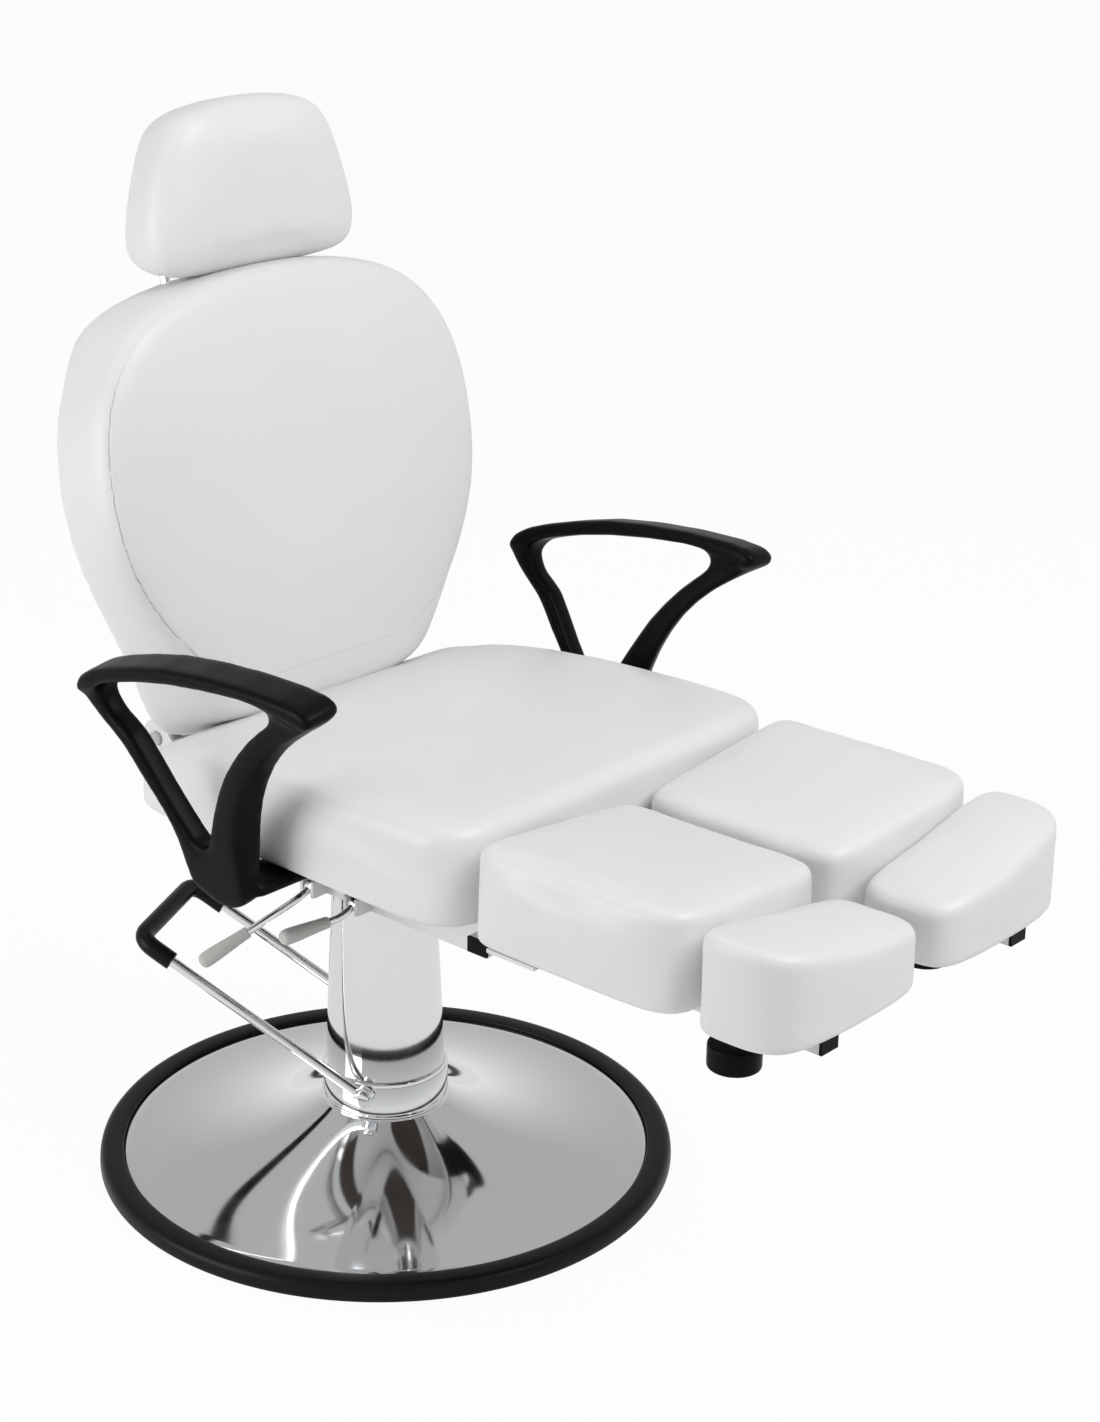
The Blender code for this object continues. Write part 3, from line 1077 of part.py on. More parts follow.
def sided(points, side):
    """The outline for the left side, or its mirror image for the right."""
    return [(side * x, y) for x, y in points]


def leg_pad(side, name, hinge):
    wide = LEG_OUTER - LEG_INNER
    outline = [(LEG_INNER + wide * x, LEG_REAR - LEG_LENGTH * y) for x, y in LEG_SHAPE]
    outline = sided(outline, side)
    rings = soft_rings(LEG_THICK, LEG_ROUND, LEG_CROWN)
    place = Matrix.Translation((0, 0, LEG_FOOT))

    def fall(point):
        return LEG_FALL * (LEG_OUTER - abs(point.x)) / wide

    add("leg_cushion_" + name, cushion(outline, rings, place, fall), LEATHERETTE, hinge, 60)
    panel = [tuple(point) for point in inset(outline, LEG_BOARD_INSET)]
    face = Matrix.Translation((0, 0, LEG_BOARD_FOOT + LEG_BOARD / 2))
    add("leg_board_" + name, plate([panel], LEG_BOARD, face), PLYWOOD, hinge)


def foot_pad(side, name, slide):
    wall = TUBE_WALL
    half = RAIL_WIDTH / 2
    tall = RAIL_HEIGHT / 2
    wide = FOOT_OUTER - FOOT_INNER
    rear = LEG_FRONT - FOOT_GAP
    outline = [(FOOT_INNER + wide * x, rear - FOOT_LENGTH * y) for x, y in FOOT_SHAPE]
    outline = sided(outline, side)
    rings = soft_rings(FOOT_THICK, FOOT_ROUND, 0.0)

    def fall(point):
        return FOOT_FALL * (FOOT_OUTER - abs(point.x)) / wide

    form = cushion(outline, rings, Matrix.Translation((0, 0, FOOT_FOOT)), fall)
    add("foot_cushion_" + name, form, LEATHERETTE, slide, 60)
    panel = [tuple(point) for point in inset(outline, FOOT_BOARD_INSET)]
    face = Matrix.Translation((0, 0, FOOT_BOARD_FOOT + FOOT_BOARD / 2))
    add("foot_board_" + name, plate([panel], FOOT_BOARD, face), PLYWOOD, slide)
    front, rear = FOOT_RAIL_END, FOOT_RAIL_END + FOOT_RAIL_LENGTH
    low, high = LEG_AXIS_Z - tall, LEG_AXIS_Z + tall
    outer_rail = side_box(side, LEG_X - half, LEG_X + half, front, rear, low, high)
    rail = add("foot_rail_" + name, outer_rail, STEEL, slide)
    cut(rail, side_box(side, LEG_X - half + wall, LEG_X + half - wall, front - wall, rear + wall,
                       low + wall, high - wall))
    cap = plug((side * LEG_X, front, LEG_AXIS_Z), (0, -1, 0), half, tall, wall + GAP)
    add("rail_plug_" + name, cap, BLACK_PLASTIC, slide)


def knob(side, name, screw):
    """Clamp knob with its threaded stud, under the leg tube."""
    top = LEG_AXIS_Z - RAIL_HEIGHT / 2 - GAP
    head = LEG_AXIS_Z - LEG_TUBE_HEIGHT / 2 - KNOB_DROP
    foot = head - KNOB_HEIGHT
    r, edge = KNOB_RADIUS, KNOB_EDGE
    shoulder = head - 3 * edge
    profile = [(0, top), (STUD_RADIUS, top), (STUD_RADIUS, head), (KNOB_NECK, head),
               (KNOB_NECK + edge, shoulder), (r - edge, shoulder - edge), (r, shoulder - 2 * edge),
               (r, foot + 2 * edge), (r - edge, foot + edge / 2), (r - 3 * edge, foot), (0, foot)]
    place = Matrix.Translation((side * LEG_X, KNOB_Y, 0))
    add("clamp_knob_" + name, turned(profile, 18, place), BLACK_PLASTIC, screw)


def levers():
    """Two release levers under the right side of the seat."""
    half = LEVER_EYE_WIDTH / 2
    for name, parent, y, tip in (("back_lever", BACK_LEVER, BACK_LEVER_Y, (-0.275, -0.005, 0.335)),
                                 ("leg_lever", LEG_LEVER, LEG_LEVER_Y, (-0.268, -0.118, 0.396))):
        root = Vector((-LEVER_X, y, LEVER_Z))
        knee = root + Vector((-0.024, 0, -0.008))
        end = Vector(tip)
        along = (end - knee).normalized()
        rod_end = end - along * 0.020
        near = root + (knee - root) * 0.2
        rod = add(name, tube([near, knee, rod_end], LEVER_ROD), CHROME, parent)
        join(rod, bar((root.x, y - half, root.z), (root.x, y + half, root.z), LEVER_EYE))
        cut(rod, bar((root.x, y - half - 0.01, root.z), (root.x, y + half + 0.01, root.z), LEVER_PIN + GAP))
        start_grip = end - along * LEVER_GRIP_LENGTH
        handle = bar(start_grip, end, LEVER_GRIP * 0.8, LEVER_GRIP)
        grip = add(name + "_grip", handle, GREY_PLASTIC, parent)
        cut(grip, bar(start_grip - along * 0.01, rod_end + along * GAP, LEVER_ROD + GAP, sides=12))


def main():
    collar = base()
    pedal(collar)
    lift()
    underframe()
    seat()
    arms()
    set_back = back()
    headrest(set_back)
    gas_spring()
    legs()
    levers()


main()
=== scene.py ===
"""Looks of a pedicure chair: upholstery, chrome, moulded plastic and a studio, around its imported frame.

Metres, +Z up. The chair faces -Y and its right side is -X.
"""

import json
import math

import bmesh
import bpy
import numpy as np
from bpy.props import FloatProperty, FloatVectorProperty, PointerProperty
from mathutils import Matrix, Vector


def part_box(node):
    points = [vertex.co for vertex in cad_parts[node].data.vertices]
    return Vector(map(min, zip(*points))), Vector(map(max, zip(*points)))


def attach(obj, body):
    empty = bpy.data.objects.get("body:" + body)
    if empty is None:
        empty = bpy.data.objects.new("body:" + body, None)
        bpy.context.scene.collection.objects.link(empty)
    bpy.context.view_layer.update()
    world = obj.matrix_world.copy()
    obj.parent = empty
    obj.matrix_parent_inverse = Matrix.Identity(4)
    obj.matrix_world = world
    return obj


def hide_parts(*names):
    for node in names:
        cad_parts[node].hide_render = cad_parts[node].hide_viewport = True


bl_info = {
    "name": "Pedicure Chair Looks",
    "version": (1, 0, 0),
    "blender": (4, 5, 0),
    "location": "View3D > Sidebar > Chair",
    "description": "Makes the visible pieces, finishes and stage of a pedicure chair",
    "category": "Object",
}

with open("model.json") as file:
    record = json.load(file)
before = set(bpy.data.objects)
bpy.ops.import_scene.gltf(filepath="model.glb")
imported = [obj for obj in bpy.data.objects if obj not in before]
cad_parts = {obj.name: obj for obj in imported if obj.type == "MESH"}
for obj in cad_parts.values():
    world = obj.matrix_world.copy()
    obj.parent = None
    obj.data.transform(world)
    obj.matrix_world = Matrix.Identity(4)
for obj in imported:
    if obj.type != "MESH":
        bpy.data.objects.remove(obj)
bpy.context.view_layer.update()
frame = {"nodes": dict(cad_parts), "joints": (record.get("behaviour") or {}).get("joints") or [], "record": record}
NODES = frame["nodes"]
JOINTS = {joint["name"]: joint for joint in frame["joints"]}
SIDES = ("right", "left")
UP = Vector((0, 0, 1))

# Distance within which points are merged, the most of an edge that a rounding takes, and steps of a bend
WELD = 0.00002
CORNER_LIMIT = 0.49
BEND_STEPS = 8

# Sockets of a Mix node that take and give colours
MIX_FACTOR, MIX_FIRST, MIX_SECOND, MIX_RESULT = 0, 6, 7, 2


def joint_place(name):
    return Vector(JOINTS[name]["pos_m"])


def colour(name, description, default):
    return FloatVectorProperty(name=name, description=description, default=default, size=3, min=0, max=1,
                               subtype="COLOR")


def length(name, description, default):
    return FloatProperty(name=name, description=description, default=default, min=0, unit="LENGTH",
                         precision=4)


def angle(name, description, default):
    return FloatProperty(name=name, description=description, default=math.radians(default), unit="ROTATION")


class ChairFinishes(bpy.types.PropertyGroup):
    """Colours of the chair's surfaces."""

    leatherette: colour("Leatherette", "White upholstery", (0.80, 0.80, 0.79))
    leatherette_shade: colour("Leatherette shade", "Upholstery where it is slightly greyer",
                              (0.75, 0.75, 0.74))
    chrome: colour("Chrome", "Plated base, column and rods", (0.86, 0.87, 0.88))
    plastic: colour("Black plastic", "Arms, knobs and plugs", (0.003, 0.003, 0.0033))
    rubber: colour("Rim", "Rim of the base and sleeve of the pedal", (0.006, 0.004, 0.004))
    paint: colour("White paint", "Painted tubes and plates", (0.76, 0.76, 0.75))
    steel: colour("Steel", "Bare steel pieces", (0.60, 0.61, 0.62))
    grip: colour("Lever grip", "Light grey grips of the levers", (0.58, 0.58, 0.56))
    wood: colour("Plywood", "Dark stained face of the boards", (0.075, 0.055, 0.045))
    wood_dark: colour("Plywood glue lines", "Darker layers of the boards", (0.040, 0.028, 0.022))


class ChairSizes(bpy.types.PropertyGroup):
    """Sizes of the pieces that the frame's boxes don't give."""

    cover_edge: length("Cover edge", "Height of the chrome cover at the rim", 0.0155)
    cover_curve: FloatProperty(name="Cover curve", description="How steeply the cover rises to its neck",
                               default=2.4, min=1, max=5)
    sleeve_wall: length("Sleeve wall", "Wall of the column sleeve", 0.002)
    sleeve_foot: length("Sleeve foot", "Outer radius of the sleeve at its foot", 0.068)
    sleeve_top: length("Sleeve top", "Outer radius of the sleeve at its top", 0.0565)
    pedal_slope: angle("Pedal slope", "How far the pedal rises above level", 31)
    pedal_length: length("Pedal length", "From the pivot to the crossbar", 0.309)
    pedal_half: length("Pedal half width", "From the middle to either rod", 0.0785)
    pedal_bend: length("Pedal bend", "Radius of the pedal's corners", 0.022)
    pedal_rod: length("Pedal rod", "Radius of the pedal's rod", 0.006)
    pedal_sleeve: length("Pedal sleeve", "Radius of the rubber on the crossbar", 0.0105)
    pedal_sleeve_reach: length("Sleeve reach", "Length of rubber on either rod", 0.045)
    arm_mesh: length("Arm mesh", "Size of the faces that the arms are rounded with", 0.0024)
    arm_fillet: length("Arm fillet", "Radius of the fillets where the arm's bars meet", 0.010)
    knob_height: length("Knob height", "Height of a clamp knob", 0.026)
    knob_edge: length("Knob edge", "Rounding of a clamp knob's edges", 0.003)
    knob_dome: length("Knob dome", "How far a clamp knob's top rises to its middle", 0.0015)
    knob_stud: length("Knob stud", "Radius of a clamp knob's stud", 0.004)
    voxel: length("Upholstery mesh", "Size of the faces that the upholstery is simulated with", 0.006)
    pad_step: length("Pad step", "Distance between the points of a pad's outline", 0.005)
    pad_skirt: length("Pad skirt", "How far a lying pad's cover reaches down over its board's edge",
                      0.010)
    pad_hem: length("Pad hem", "Rounding of a lying pad's lower edge", 0.004)
    pad_edge: length("Pad edge", "Rounding of the upper edges of the leg and foot pads", 0.011)
    seat_edge: length("Seat edge", "Rounding of the seat's upper edges", 0.020)
    swell: length("Swell", "The most that the upholstery may swell", 0.003)
    back_seam: length("Back seam", "From the back's crown to the seam of its front panel", 0.014)
    back_drop: length("Back drop", "How far the back's cover reaches below its foam", 0.012)
    head_drop: length("Headrest drop", "How far the headrest's cover reaches below its foam", 0.005)
    seam: length("Seam", "Half width of a sewn seam", 0.0016)


class Socket:
    """A shader value that takes part in arithmetic. Each operation adds a Math node."""

    def __init__(self, tree, output):
        self.tree = tree
        self.output = output

    def math(self, operation, first, second):
        made = self.tree.nodes.new("ShaderNodeMath")
        made.operation = operation
        for socket, value in zip(made.inputs, (first, second)):
            plug(self.tree, socket, value)
        return Socket(self.tree, made.outputs[0])

    def __add__(self, other):
        return self.math("ADD", self, other)

    def __radd__(self, other):
        return self.math("ADD", other, self)

    def __sub__(self, other):
        return self.math("SUBTRACT", self, other)

    def __rsub__(self, other):
        return self.math("SUBTRACT", other, self)

    def __mul__(self, other):
        return self.math("MULTIPLY", self, other)

    def __rmul__(self, other):
        return self.math("MULTIPLY", other, self)


def plug(tree, socket, value):
    """Link a socket to another node, or set its constant."""
    if isinstance(value, Socket):
        tree.links.new(value.output, socket)
    elif hasattr(value, "__len__") and len(value) == 3 and len(socket.default_value) == 4:
        socket.default_value = (*value, 1.0)
    else:
        socket.default_value = value


class Finish:
    """A material being written: a Principled shader and one method that adds any other node."""

    def __init__(self, name, constants):
        self.material = bpy.data.materials.new(name)
        self.material.use_nodes = True
        self.tree = self.material.node_tree
        self.shader = self.tree.nodes["Principled BSDF"]
        self.set(constants)
        self.place = self.node("ShaderNodeTexCoord", output="Object")

    def set(self, values):
        for name, value in values.items():
            plug(self.tree, self.shader.inputs[name], value)

    def node(self, kind, settings=None, inputs=None, output=0):
        made = self.tree.nodes.new(kind)
        for name, value in (settings or {}).items():
            setattr(made, name, value)
        for name, value in (inputs or {}).items():
            plug(self.tree, made.inputs[name], value)
        return Socket(self.tree, made.outputs[output])

    def noise(self, scale, detail, stretch=None):
        place = self.place
        if stretch:
            place = self.node("ShaderNodeMapping", None, {"Vector": place, "Scale": stretch})
        return self.node("ShaderNodeTexNoise", None, {"Vector": place, "Scale": scale, "Detail": detail})

    def mix(self, factor, first, second):
        made = self.tree.nodes.new("ShaderNodeMix")
        made.data_type = "RGBA"
        plug(self.tree, made.inputs[MIX_FACTOR], factor)
        plug(self.tree, made.inputs[MIX_FIRST], first)
        plug(self.tree, made.inputs[MIX_SECOND], second)
        return Socket(self.tree, made.outputs[MIX_RESULT])

    def bump(self, height, strength, distance):
        return self.node("ShaderNodeBump", None,
                         {"Height": height, "Strength": strength, "Distance": distance})


def leatherette(finishes):
    """Smooth white upholstery with a fine pebble grain and a soft sheen."""
    made = Finish("white_leatherette", {"Roughness": 0.42, "Coat Weight": 0.08, "Coat Roughness": 0.30})
    cloud = made.noise(scale=7.0, detail=3.0)
    pebbles = made.node("ShaderNodeTexVoronoi", {"feature": "SMOOTH_F1"},
                        {"Vector": made.place, "Scale": 720.0, "Smoothness": 0.6})
    wear = made.noise(scale=42.0, detail=4.0)
    made.set({"Base Color": made.mix(cloud * 0.9, finishes.leatherette, finishes.leatherette_shade),
              "Roughness": 0.36 + wear * 0.14,
              "Normal": made.bump(pebbles, strength=0.10, distance=0.0006)})
    return made.material


def chrome(finishes):
    """Polished plating with faint wiping marks."""
    made = Finish("polished_chrome", {"Base Color": finishes.chrome, "Metallic": 1.0})
    wiped = made.noise(scale=16.0, detail=4.0)
    specks = made.noise(scale=190.0, detail=2.0)
    made.set({"Roughness": 0.02 + wiped * 0.07 + specks * 0.02})
    return made.material


def moulded_plastic(name, base, rough):
    """Injection-moulded plastic with a fine spark texture and slightly uneven gloss."""
    made = Finish(name, {"Base Color": base, "Roughness": rough, "Specular IOR Level": 0.08})
    patches = made.noise(scale=24.0, detail=3.0)
    spark = made.noise(scale=1500.0, detail=1.0)
    made.set({"Roughness": (rough - 0.06) + patches * 0.14,
              "Normal": made.bump(spark, strength=0.12, distance=0.0003)})
    return made.material


def rim_rubber(finishes):
    """Hard black rubber, wiped to a dull gloss and dusty in patches."""
    made = Finish("rim_rubber", {"Specular IOR Level": 0.15})
    dust = made.noise(scale=12.0, detail=5.0)
    grain = made.noise(scale=900.0, detail=2.0)
    dusty = tuple(channel + 0.005 for channel in finishes.rubber)
    made.set({"Base Color": made.mix(dust * 0.8, finishes.rubber, dusty),
              "Roughness": 0.24 + dust * 0.22,
              "Normal": made.bump(grain, strength=0.06, distance=0.0003)})
    return made.material


def powder_paint(finishes):
    """White powder paint with the light orange peel of a sprayed tube."""
    made = Finish("white_powder_paint", {"Base Color": finishes.paint})
    peel = made.noise(scale=420.0, detail=2.0)
    patches = made.noise(scale=20.0, detail=3.0)
    made.set({"Roughness": 0.30 + patches * 0.14, "Normal": made.bump(peel, strength=0.12, distance=0.0005)})
    return made.material


def bright_steel(finishes):
    """Bare steel with drawn lines."""
    made = Finish("bright_steel", {"Metallic": 1.0})
    drawn = made.noise(scale=160.0, detail=3.0, stretch=(1.0, 0.06, 1.0))
    stain = made.noise(scale=30.0, detail=4.0)
    dark = tuple(channel * 0.78 for channel in finishes.steel)
    made.set({"Base Color": made.mix(stain, dark, finishes.steel),
              "Roughness": 0.24 + drawn * 0.18,
              "Normal": made.bump(drawn, strength=0.08, distance=0.0004)})
    return made.material


def plywood(finishes):
    """Plywood: glue lines through its thickness and streaked grain along its length."""
    made = Finish("plywood", {})
    layers = made.node("ShaderNodeTexWave", {"wave_type": "BANDS", "bands_direction": "Z"},
                       {"Vector": made.place, "Scale": 90.0, "Distortion": 1.5, "Detail": 2.0})
    streaks = made.noise(scale=55.0, detail=5.0, stretch=(1.0, 0.08, 1.0))
    made.set({"Base Color": made.mix(streaks * 0.7 + layers * 0.3, finishes.wood_dark, finishes.wood),
              "Roughness": 0.60 + streaks * 0.22,
              "Normal": made.bump(streaks, strength=0.20, distance=0.0008)})
    return made.material


FINISHES = {}


def write_finishes(finishes):
    FINISHES["white_leatherette"] = leatherette(finishes)
    FINISHES["chrome"] = chrome(finishes)
    FINISHES["black_plastic"] = moulded_plastic("black_plastic", finishes.plastic, 0.36)
    FINISHES["black_rubber"] = rim_rubber(finishes)
    FINISHES["grey_plastic"] = moulded_plastic("grey_plastic", finishes.grip, 0.40)
    FINISHES["white_steel"] = powder_paint(finishes)
    FINISHES["bright_steel"] = bright_steel(finishes)
    FINISHES["plywood"] = plywood(finishes)


def only(obj):
    """Select one object alone and make it active."""
    bpy.ops.object.select_all(action="DESELECT")
    obj.select_set(True)
    bpy.context.view_layer.objects.active = obj
    return obj


def edit(obj):
    only(obj)
    bpy.ops.object.mode_set(mode="EDIT")


def done():
    bpy.ops.object.mode_set(mode="OBJECT")


def settle(obj):
    """Put the object's place into its mesh."""
    only(obj)
    bpy.ops.object.transform_apply(location=True, rotation=True, scale=True)


def carry(obj, matrix):
    """Move a finished mesh, leaving its object at the origin."""
    obj.data.transform(matrix)
    obj.data.update()
    return obj


def dress(obj, name, body, slot, nodes=(), smooth=35):
    """Name a finished piece, give it its finish and let it ride on its body."""
    obj.name = name
    obj.data.name = name
    only(obj)
    bpy.ops.object.shade_smooth_by_angle(angle=math.radians(smooth))
    obj.data.materials.clear()
    obj.data.materials.append(FINISHES[slot])
    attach(obj, body)
    if nodes:
        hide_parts(*nodes)
    return obj


def modify(obj, kind, **settings):
    """Add a modifier, set it and apply it."""
    only(obj)
    made = obj.modifiers.new(kind.title(), kind)
    for name, value in settings.items():
        setattr(made, name, value)
    bpy.ops.object.modifier_apply(modifier=made.name)


def fuse(pieces):
    """Join several meshes into one object."""
    only(pieces[0])
    for piece in pieces[1:]:
        piece.select_set(True)
    bpy.ops.object.join()
    return pieces[0]


def corner(start, here, end, steps):
    """Points of a curve from start to end that is drawn towards the point between them."""
    points = []
    for step in range(steps + 1):
        t = step / steps
        points.append(start * (1 - t) ** 2 + here * 2 * t * (1 - t) + end * t * t)
    return points


def rounded(corners, closed=True, steps=4):
    """Points of a profile whose corners, given as (across, up, radius), are rounded."""
    points = []
    count = len(corners)
    for i, (across, up, radius) in enumerate(corners):
        here = Vector((across, up))
        at_end = not closed and i in (0, count - 1)
        if at_end or not radius:
            points.append((across, up))
            continue
        before = Vector(corners[i - 1][:2]) - here
        after = Vector(corners[(i + 1) % count][:2]) - here
        start = here + before.normalized() * min(radius, before.length * CORNER_LIMIT)
        end = here + after.normalized() * min(radius, after.length * CORNER_LIMIT)
        points += [(point.x, point.y) for point in corner(start, here, end, steps)]
    return points


def weld_points(outward=True):
    """Merge the points that meet in the mesh being edited, turn its faces outwards and leave edit mode."""
    bpy.ops.mesh.select_all(action="SELECT")
    bpy.ops.mesh.remove_doubles(threshold=WELD)
    if outward:
        bpy.ops.mesh.normals_make_consistent(inside=False)
    done()


def turn_profile(profile, sides, closed=True):
    """A turned shape about Z: a circle, extruded and scaled from one profile point to the next.

    A closed profile is a ring with a bore. An open one is capped at its two ends.
    """
    radius, height = profile[0]
    fill = "NOTHING" if closed else "NGON"
    bpy.ops.object.select_all(action="DESELECT")
    bpy.ops.mesh.primitive_circle_add(vertices=sides, radius=radius, fill_type=fill, location=(0, 0, height))
    obj = bpy.context.active_object
    settle(obj)
    edit(obj)
    bpy.ops.mesh.select_mode(type="EDGE")
    bpy.ops.mesh.select_all(action="SELECT")
    path = profile + profile[:1] if closed else profile
    for (radius, height), (wide, high) in zip(path, path[1:]):
        bpy.ops.mesh.extrude_edges_move(TRANSFORM_OT_translate={"value": (0, 0, high - height)})
        share = wide / radius
        bpy.ops.transform.resize(value=(share, share, 1), center_override=(0, 0, high))
    if not closed:
        bpy.ops.mesh.edge_face_add()
    weld_points()
    return obj


def eye_ring(bore, radius, half, rounding, sides):
    """A short ring about Z, half its length on either side of the origin."""
    return turn_profile(rounded([(bore, -half, 0), (radius, -half, rounding), (radius, half, rounding),
                                 (bore, half, 0)]), sides)


def along(start, end):
    """A matrix that takes the Z axis from the origin to the line between two points."""
    run = Vector(end) - Vector(start)
    return Matrix.Translation(start) @ run.to_track_quat("Z", "Y").to_matrix().to_4x4()


def bent_rod(points, radius, bend, steps=6):
    """A round rod along straight runs with rounded bends and closed ends."""
    line = [Vector(point) for point in points]
    path = [line[0]]
    for before, here, after in zip(line, line[1:], line[2:]):
        start = here + (before - here).normalized() * bend
        end = here + (after - here).normalized() * bend
        path += corner(start, here, end, BEND_STEPS)
    path.append(line[-1])
    data = bpy.data.curves.new("rod", "CURVE")
    data.dimensions = "3D"
    data.bevel_depth = radius
    data.bevel_resolution = steps
    data.use_fill_caps = True
    spline = data.splines.new("POLY")
    spline.points.add(len(path) - 1)
    for point, place in zip(spline.points, path):
        point.co = (*place, 1.0)
    obj = bpy.data.objects.new("rod", data)
    bpy.context.scene.collection.objects.link(obj)
    only(obj)
    bpy.ops.object.convert(target="MESH")
    obj = bpy.context.active_object
    edit(obj)
    weld_points()
    return obj


def copy_of(node):
    """A merged copy of a frame node's mesh, as a new object."""
    obj = bpy.data.objects.new(node + "_copy", NODES[node].data.copy())
    bpy.context.scene.collection.objects.link(obj)
    edit(obj)
    weld_points(outward=False)
    return obj


def points_of(obj):
    """The mesh's points and normals as arrays."""
    count = len(obj.data.vertices)
    places = np.empty(count * 3)
    normals = np.empty(count * 3)
    obj.data.vertices.foreach_get("co", places)
    obj.data.vertices.foreach_get("normal", normals)
    return places.reshape(-1, 3), normals.reshape(-1, 3)


def set_points(obj, places):
    obj.data.vertices.foreach_set("co", places.ravel())
    obj.data.update()


# Sides of the turned pieces, from the widest to the thinnest
BASE_SIDES = 192
COLUMN_SIDES = 128
RAM_SIDES = 96
KNOB_SIDES = 96
GRIP_SIDES = 40
STUD_SIDES = 32

# The base's rim: its gap to the floor plate, and the offsets of its profile
RIM_GAP = 0.0003
RIM_STEP = 0.001
RIM_LIP = 0.006
RIM_TAPER = 0.002
RIM_TOE = 0.003

# The chrome cover: its wall, the share of its width that slopes, and the drop of its lip
COVER_WALL = 0.0025
COVER_SLOPE = 0.985
COVER_LIP = 0.0008
COVER_STEPS = 24

# The collar: its gap to the sleeve, its wall, and corners from its outside at the foot and at the top
NECK_GAP = 0.0045
COLLAR_WALL = 0.0125
COLLAR_FOOT = ((0.0012, 0.0, 0.0015), (0.0012, 0.004, 0.001), (-0.001, 0.0055, 0.001),
               (-0.001, 0.0075, 0.001))
COLLAR_HEAD = ((-0.0012, -0.0025, 0.003), (-0.0035, 0.0, 0.002))

# The collar's pivot studs: where they start in its bore, their radii, and lengths beyond the pedal's rod
STUD_START = 0.001
STUD_RADIUS = 0.005
STUD_HEAD = 0.0085
STUD_TIP = 0.004
STUD_NECK_REACH = 0.0045
STUD_HEAD_REACH = 0.0075
STUD_TIP_REACH = 0.0085

# The ram: its gap in the guide ring, the chamfer at its foot, and the radius of its spigot
RAM_GAP = 0.0005
RAM_CHAMFER = 0.001
RAM_SPIGOT = 0.018


def neck_radius():
    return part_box("column_sleeve")[1].x + NECK_GAP


